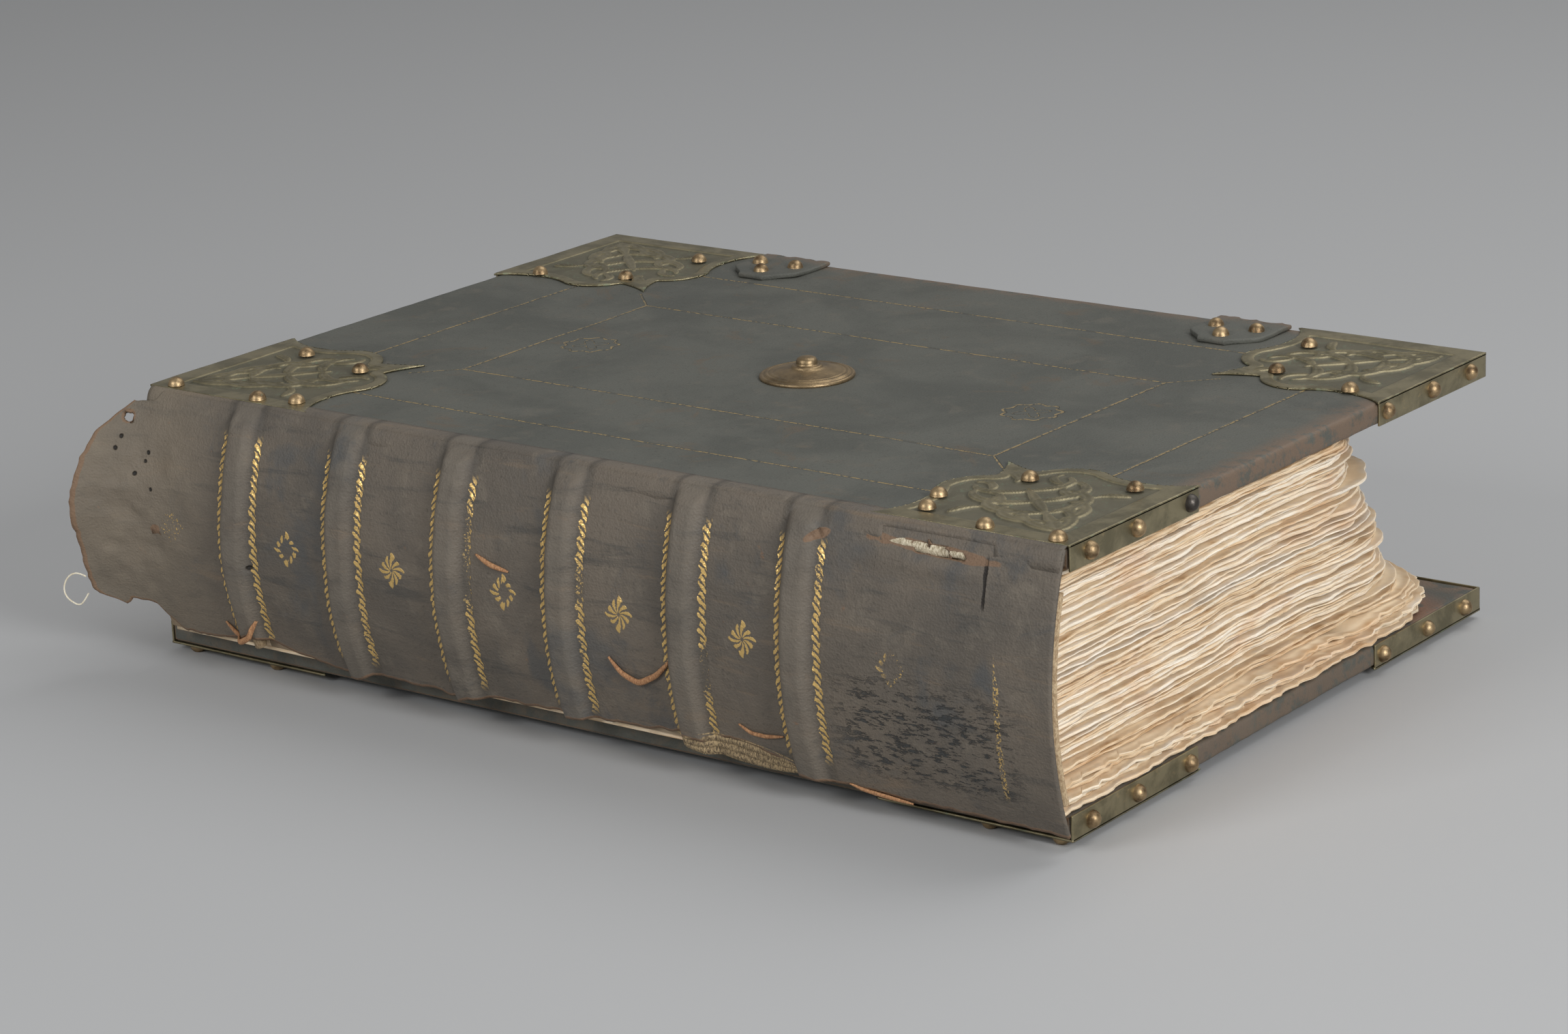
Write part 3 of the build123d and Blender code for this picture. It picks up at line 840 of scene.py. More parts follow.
def plateOutline():
    """The scalloped outline from one corner of the board, the same on both sides of its diagonal."""
    arm = plate["arm"]
    tip = (arm - 7, arm - 7)
    half = [
        arcThrough((arm, 0.0), (arm - 8, 21.0), (arm - 3, 38.0), 14)[:-1],
        arcThrough((arm - 3, 38.0), (arm - 4, 51.0), (arm - 14, 60.0), 12)[:-1],
        arcThrough((arm - 14, 60.0), (arm - 11.4, 69.6), tip, 9)[:-1],
    ]
    half = np.concatenate(half)
    return np.concatenate([half, [tip], half[::-1][:, ::-1]])


def distanceToPath(u, v, path, taper=None):
    """Distance to a chain of straight pieces, less the taper's half width at the nearest place."""
    best = np.full(u.shape, 1e9)
    count = len(path) - 1
    for k, ((ax, ay), (bx, by)) in enumerate(zip(path[:-1], path[1:])):
        dx, dy = bx - ax, by - ay
        t = np.clip(((u - ax) * dx + (v - ay) * dy) / max(dx * dx + dy * dy, 1e-9), 0, 1)
        far = np.hypot(u - ax - t * dx, v - ay - t * dy)
        if taper:
            far = far - taper((k + t) / count)
        best = np.minimum(best, far)
    return best


def inside(u, v, outline):
    odd = np.zeros(u.shape, bool)
    for (ax, ay), (bx, by) in zip(outline, np.roll(outline, -1, axis=0)):
        crosses = (ay > v) != (by > v)
        odd ^= crosses & (u < (bx - ax) * (v - ay) / np.where(by == ay, 1e-9, by - ay) + ax)
    return odd


def curl(start, way, length, turn, count=14):
    """A scroll: a path that starts in one direction and winds up ever tighter."""
    path, angle, place = [start], way, np.array(start, float)
    for k in range(count):
        place = place + np.array([cos(angle), sin(angle)]) * length / count
        path.append(tuple(place))
        angle += turn * (0.35 + 1.5 * k / count) / count
    return path


def scrollwork():
    """The leaves of the openwork on one side of the diagonal, each with its half width."""
    return (
        (curl((13, 13), radians(45), 22, 0), 2.6),
        (curl((30, 30), radians(45), 30, 0), 2.0),
        (curl((15, 13), radians(8), 26, radians(75)), 2.1),
        (curl((22, 20), radians(-22), 30, radians(120)), 2.3),
        (curl((30, 28), radians(-30), 36, radians(150)), 2.5),
        (curl((40, 38), radians(-38), 34, radians(130)), 2.3),
        (curl((50, 48), radians(-45), 24, radians(110)), 1.9),
        (curl((34, 21), radians(40), 15, radians(-60)), 1.5),
        (curl((50, 30), radians(75), 14, radians(-70)), 1.5),
        (curl((60, 14), radians(100), 13, radians(60)), 1.6),
        (curl((62, 44), radians(70), 14, radians(-110)), 1.5),
        (curl((57, 60), radians(10), 13, radians(70)), 1.6),
    )


def plateSheet(seed):
    """A plate's worked face: points, faces, how raised each point is, and how near the rim."""
    arm, step = plate["arm"], plate["step"]
    outline = plateOutline()
    loop = np.concatenate([outline, [(0.0, 0.0)]])
    closed = np.concatenate([loop, loop[:1]])
    ticks = np.arange(0, arm + step * 1.5, step)
    u, v = np.meshgrid(ticks, ticks, indexing="ij")
    away = distanceToPath(u, v, closed)
    signed = np.where(inside(u, v, loop), away, -away)
    signed = np.where((u <= 0) | (v <= 0), np.minimum(signed, 0), signed)
    gu, gv = np.gradient(signed, step)
    pull = np.where((signed < 0) & (signed > -step * 1.3), signed, 0.0)
    free = (u > 0.01) & (v > 0.01)
    pulledU = u - np.where(free, pull * gu, 0)
    pulledV = v - np.where(free, pull * gv, 0)
    bars, veins = np.zeros(u.shape), np.zeros(u.shape)
    for path, width in scrollwork():
        for a, b in ((u, v), (v, u)):
            far = distanceToPath(a, b, path, lambda t: width * (0.3 + 0.7 * np.sin(pi * t**0.7)))
            bars = np.maximum(bars, 1 - smooth(far, -0.1, 0.75))
            veins = np.maximum(veins, 1 - smooth(distanceToPath(a, b, path), 0.2, 0.8))
    rimDistance = distanceToPath(u, v, outline)
    border = 1 - smooth(rimDistance, plate["border"] - 0.9, plate["border"])
    sides = 1 - smooth(np.minimum(u, v), 9.0, 9.9)
    raised = np.maximum.reduce([bars, border, sides])
    bevel = smooth(rimDistance, 0.0, 1.3)
    dent = noise(u, v, 17.0, seed) * 0.18 + noise(u, v, 5.0, seed + 1) * 0.05
    swell = bars * (1 - border) * (1 - sides) * (0.3 - 0.3 * veins)
    height = plate["thick"] - plate["sink"] * (1 - raised) + swell + dent * 0.6 - 0.25 * (1 - bevel)
    faces = gridFaces(*u.shape)
    near = (signed > -step * 1.3).reshape(-1)
    faces = faces[near[faces].all(axis=1)]
    points = np.stack([pulledU, pulledV, height], -1).reshape(-1, 3)
    rim = 1 - smooth(np.minimum(rimDistance, np.minimum(u, v) + 0.6), 0.2, 2.0)
    return dropUnused(points, faces, raised.reshape(-1), rim.reshape(-1))


def mirrorTo(points, tail, fore):
    moved = np.array(points, float)
    if tail:
        moved[:, 0] = book["boardLength"] - moved[:, 0]
    if fore:
        moved[:, 1] = book["boardWidth"] - moved[:, 1]
    return moved


def cornerPlate(side, corner, tail, fore, way, seed):
    """One plate: the worked sheet closed underneath, and its folds over the board's edges."""
    points, faces, raised, rim = plateSheet(seed)
    if not fore:
        points[:, 1] = np.maximum(points[:, 1], 0.6)
    under = points.copy()
    under[:, 2] = 0.02
    count = len(points)
    edges = {}
    for face in faces:
        for a, b in zip(face, np.roll(face, -1)):
            edges[(a, b)] = True
    walls = [[b, a, a + count, b + count] for a, b in edges if (b, a) not in edges]
    whole = np.concatenate([points, under])
    allFaces = [list(f) for f in faces] + [[i + count for i in f[::-1]] for f in faces] + walls
    depth = book["coverDepth"]
    folds = [roundedSlab((0, 0.6 if not fore else 0, -depth), (0.95, plate["fold"], 0.85), 0.4, 3.0)]
    if fore:
        folds.append(roundedSlab((0, 0, -depth), (plate["fold"], 0.95, 0.85), 0.4, 3.0))
    parts = [(whole, allFaces)] + folds
    points, faces = joinParts(parts)
    extra = len(points) - 2 * count
    raisedAll = np.concatenate([raised, raised, np.ones(extra)])
    edgeWear = np.concatenate([rim, rim, np.full(extra, 0.25)])
    name = f"{side}{corner[0].title()}{corner[1].title()}Plate"
    values = {"raised": raisedAll, "rim": edgeWear}
    points = mirrorTo(points, tail, fore)
    piece = makePiece(name, points, faces, finishes["plate"], way, values=values, level=True)
    settle(piece, f"{side}_cover", "plate_brass", f"{side}_{corner[0]}_{corner[1]}_plate")


# Each corner: its end, its edge, and whether it is mirrored from the head and from the spine.
corners = (
    ("head", "spine", False, False),
    ("tail", "spine", True, False),
    ("head", "fore", False, True),
    ("tail", "fore", True, True),
)
for side, way in (("front", onUpper), ("back", onLower)):
    for index, (end, edge, tail, fore) in enumerate(corners):
        cornerPlate(side, (end, edge), tail, fore, way, 40 + index)
print("corner plates made")


# ---------- nails and boss

strap = {"middles": (104.0, 336.0), "inner": 260.0, "fore": 296.4, "half": 17.0}
nail = {
    "radius": 3.5,
    "height": 3.4,
    "worn": 3.0,
    "edgeLine": -4.0,
    "foreFace": ((18.0, 75.0), (57.0, 64.0), (66.0, 24.0)),
    "spineHead": ((10.5, 4.7), (55.0, 4.7), (72.0, 9.0), (62.0, 57.0), (24.5, 66.0)),
    "spineTail": ((7.5, 4.7), (38.0, 4.7), (68.5, 13.0), (74.0, 28.0), (57.0, 61.0), (17.0, 68.5)),
    "ends": (13.0, 43.0, 78.0),
    "sides": (20.0, 48.0, 76.0),
    "straps": ((0, 8.0), (-9.5, 20.0), (9.5, 20.0)),
    "catches": (-6.5, 6.5),
    "jitter": 0.07,
    "seed": 5,
}


def nailHead(name, crown):
    """A hammered dome, standing on z = 0, its crown worn flat at the given height."""
    r, h = nail["radius"], nail["height"]
    ball = (r * r + h * h) / (2 * h)
    angles = np.linspace(0.0, np.arccos((ball - h) / ball), 8)
    profile = [(0.0, min(h, crown))]
    profile += [(ball * sin(a), min(h - ball + ball * cos(a), crown)) for a in angles[1:]]
    profile += [(r + 0.05, -0.1), (0.0, -0.1)]
    points, faces = turned(profile, 18, 0.012, 4)
    mesh = bpy.data.meshes.new(name)
    mesh.from_pydata((points * 0.001).tolist(), [], faces)
    turnOutwards(mesh)
    mesh.shade_smooth()
    return bpy.data.objects.new(name, mesh)


def scatterTree():
    """Sets a head on each point, its top along the point's way, its size a little uneven."""
    tree = bpy.data.node_groups.new("setHeads", "GeometryNodeTree")
    sockets = {"Points": "Geometry", "Head": "Object", "Finish": "Material", "Jitter": "Float", "Seed": "Int"}
    for name, kind in sockets.items():
        tree.interface.new_socket(name, in_out="INPUT", socket_type=f"NodeSocket{kind}")
    tree.interface.new_socket("Nails", in_out="OUTPUT", socket_type="NodeSocketGeometry")
    nodes, links = tree.nodes, tree.links
    given, result = nodes.new("NodeGroupInput"), nodes.new("NodeGroupOutput")
    way = nodes.new("GeometryNodeInputNamedAttribute")
    way.data_type = "FLOAT_VECTOR"
    way.inputs["Name"].default_value = "way"
    turn = nodes.new("FunctionNodeAlignRotationToVector")
    turn.axis = "Z"
    links.new(way.outputs["Attribute"], turn.inputs["Vector"])
    head = nodes.new("GeometryNodeObjectInfo")
    links.new(given.outputs["Head"], head.inputs["Object"])
    small = nodes.new("ShaderNodeMath")
    small.operation = "SUBTRACT"
    small.inputs[0].default_value = 1.0
    links.new(given.outputs["Jitter"], small.inputs[1])
    size = nodes.new("FunctionNodeRandomValue")
    links.new(small.outputs[0], size.inputs[2])
    size.inputs[3].default_value = 1.0
    links.new(given.outputs["Seed"], size.inputs["Seed"])
    place = nodes.new("GeometryNodeInstanceOnPoints")
    links.new(given.outputs["Points"], place.inputs["Points"])
    links.new(head.outputs["Geometry"], place.inputs["Instance"])
    links.new(turn.outputs["Rotation"], place.inputs["Rotation"])
    links.new(size.outputs[1], place.inputs["Scale"])
    real = nodes.new("GeometryNodeRealizeInstances")
    links.new(place.outputs["Instances"], real.inputs["Geometry"])
    coat = nodes.new("GeometryNodeSetMaterial")
    links.new(real.outputs["Geometry"], coat.inputs["Geometry"])
    links.new(given.outputs["Finish"], coat.inputs["Material"])
    links.new(coat.outputs["Geometry"], result.inputs["Nails"])
    return tree


headTree = scatterTree()


def setHeads(name, places, ways, head, finish, seed):
    """Nails on their places, baked to one plain mesh."""
    mesh = bpy.data.meshes.new(name)
    mesh.from_pydata(np.asarray(places).tolist(), [], [])
    layer = mesh.attributes.new("way", "FLOAT_VECTOR", "POINT")
    layer.data.foreach_set("vector", np.asarray(ways, float).ravel())
    piece = bpy.data.objects.new(name, mesh)
    bpy.context.collection.objects.link(piece)
    modifier = piece.modifiers.new("heads", "NODES")
    modifier.node_group = headTree
    values = {"Head": head, "Finish": finish, "Jitter": nail["jitter"], "Seed": seed}
    for item in headTree.interface.items_tree:
        if item.in_out == "INPUT" and item.name in values:
            modifier[item.identifier] = values[item.name]
    applyModifiers(piece)
    if not piece.data.materials:
        piece.data.materials.append(finish)
    return piece


def cornerNails(end, edge):
    """Places and ways of a corner's nails in the cover's frame, from that corner."""
    face = nail["foreFace"] if edge == "fore" else nail["spineHead" if end == "head" else "spineTail"]
    spots = [((u, v, plate["thick"] + 0.15), (0, 0, 1)) for u, v in face]
    spots += [((0, v, nail["edgeLine"]), (-1, 0, 0)) for v in nail["ends"]]
    if edge == "fore":
        spots += [((u, 0, nail["edgeLine"]), (0, -1, 0)) for u in nail["sides"]]
    return spots


def mirrorWay(way, tail, fore):
    return (-way[0] if tail else way[0], -way[1] if fore else way[1], way[2])


def coverNails(side, way):
    """All the nails of one cover. One spine-edge nail of the upper cover is iron."""
    groups = {"dome": [], "worn": [], "iron": []}
    for end, edge, tail, fore in corners:
        spots = cornerNails(end, edge)
        for index, (spot, tip) in enumerate(spots):
            spot = mirrorTo([spot], tail, fore)[0]
            tip = mirrorWay(tip, tail, fore)
            kind = "worn" if side == "back" and tip[2] else "dome"
            if side == "front" and (end, edge) == ("tail", "spine") and index == len(spots) - 1:
                kind = "iron"
            groups[kind].append((spot, tip))
    for x in strap["middles"]:
        if side == "front":
            spots = [(x + dx, strap["inner"] + dy, 2.0) for dx, dy in nail["straps"]]
            groups["dome"] += [(spot, (0, 0, 1)) for spot in spots]
        else:
            spots = [(x + dx, book["boardWidth"] - 10.0, plate["thick"]) for dx in nail["catches"]]
            groups["worn"] += [(spot, (0, 0, 1)) for spot in spots]
    nodes = [f"{side}_{end}_{edge}_nails" for end, edge, tail, fore in corners]
    nodes.append("strap_nails" if side == "front" else "catch_nails")
    for kind, spots in groups.items():
        if not spots:
            continue
        at = way(np.array([spot for spot, tip in spots], float))
        tips = way(np.array([np.add(spot, tip) for spot, tip in spots], float))
        head = nailHead(f"{kind}Head", nail["worn"] - 0.05 if kind == "worn" else nail["height"])
        finish = finishes["iron" if kind == "iron" else "nail"]
        piece = setHeads(f"{side}{kind.title()}Nails", toModel(at), tips - at, head, finish, nail["seed"])
        if kind == "iron":
            settle(piece, f"{side}_cover", "dark_iron", "iron_nail")
        else:
            settle(piece, f"{side}_cover", "nail_brass", *nodes)
            nodes = []


coverNails("front", onUpper)
coverNails("back", onLower)


def centreBoss():
    """A turned dish with two ridges near its edge and a button on a collar."""
    boss = {"at": (223.0, 141.5), "radius": 19.0}
    dish = (
        (0.2, -0.6), (-0.1, 0.1), (0.0, 0.8), (0.45, 1.25), (1.1, 1.35), (1.5, 1.15), (1.75, 1.2),
        (2.1, 1.75), (2.7, 2.0), (3.3, 1.85), (3.6, 1.7), (3.95, 1.95), (4.5, 2.15), (5.1, 2.1), (5.6, 2.2),
    )
    button = (
        (12.0, 2.55), (10.0, 2.95), (8.0, 3.3), (6.6, 3.6), (6.4, 3.75), (6.25, 4.3), (5.9, 4.65),
        (5.3, 4.75), (4.8, 4.65), (4.35, 4.8), (4.3, 5.6), (4.15, 6.5), (3.7, 7.25), (2.9, 7.7),
        (1.6, 7.95), (0, 8.0),
    )
    profile = [(0, -0.6), *((boss["radius"] - inset, height) for inset, height in dish), *button]
    points, faces = turned(profile, 72)
    points += np.array([*boss["at"], 0])
    piece = makePiece("centreBoss", points, faces, finishes["boss"], onUpper, level=True)
    settle(piece, "front_cover", "boss_brass", "centre_boss")


centreBoss()
print("nails and boss made")


# ---------- leaves

leaves = {
    "head": 5.0,
    "tail": 434.0,
    "packets": 66,
    "thickness": 91.2,
    "depthTop": 224.0,
    "depthBottom": 279.0,
    "corner": 46.0,
    "gap": (202.0, 27.5),
    "backAxis": (125.54, 58.7),
    "backRadius": 136.2,
    "seed": 21,
}


def leafDepth(height):
    """How far the leaves reach from the spine at a share of the block's height."""
    base = leaves["depthBottom"] + (leaves["depthTop"] - leaves["depthBottom"]) * height
    return base + 5.0 * np.sin(height * 9.0 + 0.6) * (1 - height) + 3.0 * np.sin(height * 17.0)


def packetOutline(depth, tail, head, corner, backY):
    """One gathering's outline seen from above, close set along the tail, which shows most."""
    quarter = np.linspace(0, pi / 2, 20)
    line = [(head, backY)]
    line += [(head, y) for y in np.linspace(backY + 6, depth - corner, 20)]
    line += [(head + corner * (1 - cos(a)), depth - corner + corner * sin(a)) for a in quarter[1::2]]
    line += [(x, depth) for x in np.linspace(head + corner + 8, tail - corner - 8, 26)]
    line += [(tail - corner * (1 - sin(a)), depth - corner + corner * cos(a)) for a in quarter]
    line += [(tail, y) for y in np.linspace(depth - corner - 3, backY + 1, 96)]
    line += [(tail - 1, backY)]
    line += [(x, backY) for x in np.linspace(tail - 12, head + 12, 14)]
    return np.array(line)


def ruffle(line, index, loose, depth, corner, side):
    """Frays and swells a gathering's outline where it is open."""
    ragged = noise(line[:, 0] + 37 * index, line[:, 1], 4.0, 50 + index % 7) * (0.5 + 1.1 * loose)
    ragged += noise(line[:, 0], line[:, 1] + 91 * index, 17.0, 60) * 1.3
    push = ragged * side
    line[:, 0] += np.where(line[:, 0] > leaves["tail"] - corner - 6, push * 0.9, 0)
    line[:, 1] += np.where(line[:, 1] > depth - corner, push * 0.9, 0)


def waveOf(line, height, middle):
    """How far the leaves at a height are lifted, more towards the fore-edge, none at the boards."""
    wave = noise(line[:, 0], line[:, 1] + height * 0.25, 44.0, 70) * 2.4
    wave = wave + noise(line[:, 0], line[:, 1] + height * 0.5, 16.0, 71) * 0.5
    calm = min(1.0, 6.5 * middle * (1 - middle))
    return wave * smooth(line[:, 1], 15, 190) * calm


def gatheringFaces(rows, n):
    """Sides between the rows of n points, and fans to the two middle points that follow them."""
    last = (rows - 1) * n
    faces = gridFaces(rows, n, wrap=True).tolist()
    faces += [[rows * n, (i + 1) % n, i] for i in range(n)]
    faces += [[rows * n + 1, last + i, last + (i + 1) % n] for i in range(n)]
    return faces


def textBlock():
    """Gatherings of soft leaves, each with its own worn outline, waves and tone."""
    rng = np.random.default_rng(leaves["seed"])
    bottom, thickness, count = book["leafBottom"], leaves["thickness"], leaves["packets"]
    axisY, axisZ = leaves["backAxis"]
    inner = np.cumsum(rng.uniform(0.45, 1.55, count))
    edges = np.concatenate([[0.0], inner / inner[-1]])
    gapY, gapZ = leaves["gap"]
    gapLevel = bottom + edges[np.argmin(np.abs(bottom + edges * thickness - gapZ))] * thickness
    shares = np.array([0.0, 0.04, 0.22, 0.4, 0.6, 0.8, 0.96, 1.0])
    draws = np.array([9.0, 0.35, 0.0, 0.0, 0.0, 0.0, 0.35, 9.0])
    parts, maps, values = [], [], {"deep": [], "flat": [], "tone": []}
    tone = 0.5
    for k in range(count):
        low, high = edges[k], edges[k + 1]
        middle = (low + high) / 2
        loose = middle < 0.16
        depth = leafDepth(middle) + rng.uniform(-4.5, 3.5)
        tail = leaves["tail"] - rng.uniform(0.0, 4.5) + (rng.uniform(0, 3.5) if loose else 0)
        head = leaves["head"] + rng.uniform(0.0, 3.0)
        corner = leaves["corner"] + rng.uniform(-9, 9)
        z0, z1 = bottom + low * thickness, bottom + high * thickness
        height = (z0 + z1) / 2
        backY = axisY - np.sqrt(leaves["backRadius"] ** 2 - (height - axisZ) ** 2) + 0.2
        line = packetOutline(depth, tail, head, corner, backY)
        n = len(line)
        run = np.concatenate([[0], np.cumsum(np.linalg.norm(np.diff(line, axis=0), axis=1))])
        side = smooth(line[:, 1], backY + 1, backY + 14)
        ruffle(line, k, loose, depth, corner, side)
        lift = waveOf(line, height, middle)
        near = np.exp(-(((line[:, 1] - gapY) / 9.0) ** 2)) * (line[:, 0] > 400)
        parting = 1.9 * np.sign(height - gapLevel) * np.exp(-(((height - gapLevel) / 5.0) ** 2))
        lift = lift + near * parting
        centre = line.mean(axis=0)
        inward = (centre - line) / np.linalg.norm(centre - line, axis=1, keepdims=True)
        gap = 0.12 + rng.uniform(0.1, 0.55) * (rng.random() < 0.3)
        rows = []
        for row, (share, draw) in enumerate(zip(shares, draws)):
            step = noise(line[:, 0] + 13 * row, line[:, 1] + 53 * k, 9.0, 140 + row) * 0.35 - 0.15
            reach = draw + (0 if draw > 0 else step)
            shift = inward * np.broadcast_to(reach, n)[:, None] * (1 if draw > 1 else side[:, None])
            level = z0 + (z1 - z0 - gap) * share
            rows.append(np.column_stack([line + shift, level + lift]))
            maps.append(np.column_stack([run, np.full(n, level + k * 0.37)]) * 0.001)
        rows.append(np.array([[centre[0], centre[1], z0], [centre[0], centre[1], z1 - gap]]))
        maps.append(np.zeros((2, 2)))
        points = np.concatenate(rows)
        top = bottom + thickness - 0.2 - points[:, 1] * sin(radians(book["tilt"]))
        points[:, 2] = np.clip(points[:, 2], bottom, top)
        parts.append((points, gatheringFaces(len(shares), n)))
        tone = 0.45 * tone + 0.55 * rng.uniform(0, 1)
        if rng.random() < 0.1:
            tone = 1.3
        # deep marks the drawn-in rows of each gathering, which get the painted shade of the gaps between
        # gatherings.
        values["deep"].append(np.concatenate([np.repeat(draws > 0, n) * 0.8, [0, 0]]))
        values["flat"].append(np.concatenate([np.repeat(draws > 1, n) * 1.0, [1, 1]]))
        values["tone"].append(np.full(len(points), tone))
    points, faces = joinParts(parts)
    values = {key: np.concatenate(value) for key, value in values.items()}
    maps = np.concatenate(maps)
    piece = makePiece("textBlock", points, faces, finishes["leaves"], uv=maps, values=values, level=True)
    settle(piece, "text_block", "leaves", "text_block")


textBlock()
print("leaves made")


# ---------- spine

spine = {
    "radius": 138.54,
    "axis": (125.54, 58.7),
    "halfAngle": 22.99,
    "start": -20.0,
    "end": 439.2,
    "flare": 14.0,
    "flareStart": 15.0,
    "bandHeight": 5.0,
    "bandCrest": 3.4,
    "bandFoot": 8.8,
    "thick": 1.3,
    "across": 396,
    "down": 106,
    "foot": (
        (-20, 30), (-13, 25.5), (-8, 28.5), (3, 26.5), (7, 21), (13, 15.8), (20, 15.2), (38, 16.5),
        (47, 17.5), (52, 19.5), (58, 22), (64, 20), (76, 16.2), (92, 14), (102, 12.5), (111, 11.5),
        (118, 14), (135, 12.8), (149, 13), (156, 11.6), (163, 12), (169, 14.5), (209, 15.5), (248, 16.5),
        (271, 18.2), (283, 18), (294, 20.4), (304, 19.4), (314, 16.5), (322.5, 13.4), (333, 10.8),
        (346, 10.3), (362, 10), (386, 9.3), (421, 9), (440, 8),
    ),
    "headEdge": (
        (12, -9), (25, -12.5), (32, -18), (45, -20), (75, -20), (88, -18.5), (98, -14.5), (105, -8.5),
        (110, -2),
    ),
    # Each hole: its x and z, half sizes, and slope.
    "holes": (
        (387.0, 106.0, 22.5, 1.6, -0.035),
        (338.0, 105.0, 3.4, 1.7, 0.3),
        (12.0, 60.0, 2.0, 1.5, 0.0),
        (-4.0, 103.0, 2.6, 2.0, 0.0),
    ),
    "trim": 1.15,
}


def lowerEdge(x):
    """Height of the leather's torn lower edge along the spine."""
    places, heights = zip(*spine["foot"])
    return np.interp(x, places, heights) + noise(x, x * 0, 5.0, 81) * 0.5 + noise(x, x * 0, 2.0, 82) * 0.25


def upperEdge(x):
    """Height of the leather's upper edge: the joint, torn away past the board's head."""
    past = smooth(-x, -2.0, 6.0)
    return 113.4 * (1 - past) + (109.0 + noise(x, x * 0, 6.0, 83) * 1.0) * past


def bandRise(x):
    """How far a raised band stands at x, 0 to 1."""
    rise = np.zeros(np.shape(x))
    for band in book["bands"]:
        rise = np.maximum(rise, 1 - smooth(np.abs(x - band), spine["bandCrest"], spine["bandFoot"]))
    return rise


def backCurve(x, z):
    """The back before it is worn: its angle at z, how full it is there, and its swell and bands."""
    angle = np.arcsin(np.clip((z - spine["axis"][1]) / spine["radius"], -1, 1))
    full = np.maximum(np.cos(angle * (90 / spine["halfAngle"])), 0)
    swell = 2.4 * smooth(-x, -330.0, -20.0) * full
    bands = spine["bandHeight"] * bandRise(x) * smooth(z, 112.6, 107.5)
    return angle, full, swell, bands


def beyondBack(angle, out):
    """The y value at an angle of the back's circle, out beyond it."""
    return spine["axis"][0] - (spine["radius"] + out) * np.cos(angle)


def spinePoints(x, share):
    """Outer surface of the leather at x, share running from the upper edge to the lower one."""
    top = upperEdge(x)
    z = top + (lowerEdge(x) - top) * share
    levels, starts = zip(*spine["headEdge"])
    edge = np.interp(z, levels, starts) + noise(z, z * 0, 7.0, 84) * 0.5 + noise(z, z * 0, 2.2, 85) * 0.25
    reach = 20.0
    x = np.where(x < reach, reach - (reach - x) * (reach - edge) / (reach - spine["start"]), x)
    angle, rise, swell, bands = backCurve(x, z)
    out = swell + bands * (1 + noise(x, z, 16.0, 94) * 0.12)
    flare = np.clip((spine["flareStart"] - x) / (spine["flareStart"] - spine["start"]), 0, None)
    out = out + spine["flare"] * flare**2 * smooth(z, 116, 96) * (1 + 0.1 * np.sin(z * 0.11))
    out = out + noise(x, z, 28.0, 90) * 0.45 * rise + noise(x, z, 9.0, 91) * 0.18
    rough = smooth(-x, -40.0, 2.0)
    out = out + (noise(x, z, 11.0, 92) * 1.2 + noise(x, z, 4.0, 93) * 0.5) * rough * rise
    out = out - 0.9 * np.exp(-(((x - 430.5) / 2.2) ** 2)) * rise
    out = out + 1.3 * np.exp(-(((z - 100.5) / 3.5) ** 2)) * np.exp(-(((x - 387) / 21.0) ** 2))
    return np.stack([x, beyondBack(angle, np.maximum(out, -0.1)), z], -1)


def tornField(x, z):
    """Distance outside the nearest hole, in millimetres, below nothing inside it."""
    best = np.full(x.shape, 50.0)
    for index, (cx, cz, wide, tall, slope) in enumerate(spine["holes"]):
        dz = z - cz - (x - cx) * slope
        far = (np.hypot((x - cx) / wide, dz / tall) - 1) * min(wide, tall)
        best = np.minimum(best, far + noise(x + cx, z, 3.2, 100 + index) * 0.4)
    return best


def spineCover():
    """The leather over the back. Points just inside a hole are drawn out to its edge."""
    along = np.linspace(spine["start"], spine["end"], spine["across"])
    x, share = np.meshgrid(along, np.linspace(0, 1, spine["down"]), indexing="ij")
    points = spinePoints(x, share)
    field = tornField(points[..., 0], points[..., 2])
    alongX, alongZ = np.gradient(points[..., 0], axis=0), np.gradient(points[..., 2], axis=1)
    slopeX = np.gradient(field, axis=0) / alongX
    slopeZ = np.gradient(field, axis=1) / np.where(np.abs(alongZ) < 0.01, 0.01, alongZ)
    size = np.maximum(np.hypot(slopeX, slopeZ), 0.3)
    near = (field < 0) & (field > -spine["trim"])
    push = np.where(near, -field, 0) / size**2
    points[..., 0] += push * slopeX
    points[..., 2] += push * slopeZ
    faces = gridFaces(*x.shape)
    faces = faces[(field > -spine["trim"]).reshape(-1)[faces].all(axis=1)]
    raw = 1 - smooth(field, 0.0, 0.9)
    raw = np.maximum(raw, 1 - smooth((1 - share) * 95, 0.4, 1.6))
    raw = np.maximum(raw, 1 - smooth(x - spine["start"], 0.8, 2.4))
    used, faces, raw = dropUnused(points.reshape(-1, 3), faces, raw.reshape(-1))
    piece = makePiece("spineLeather", used, faces[:, ::-1], finishes["spine"], values={"raw": raw})
    thicken(piece, spine["thick"], -1.0)
    settle(piece, "text_block", "spine_leather", "spine_leather")


spineCover()


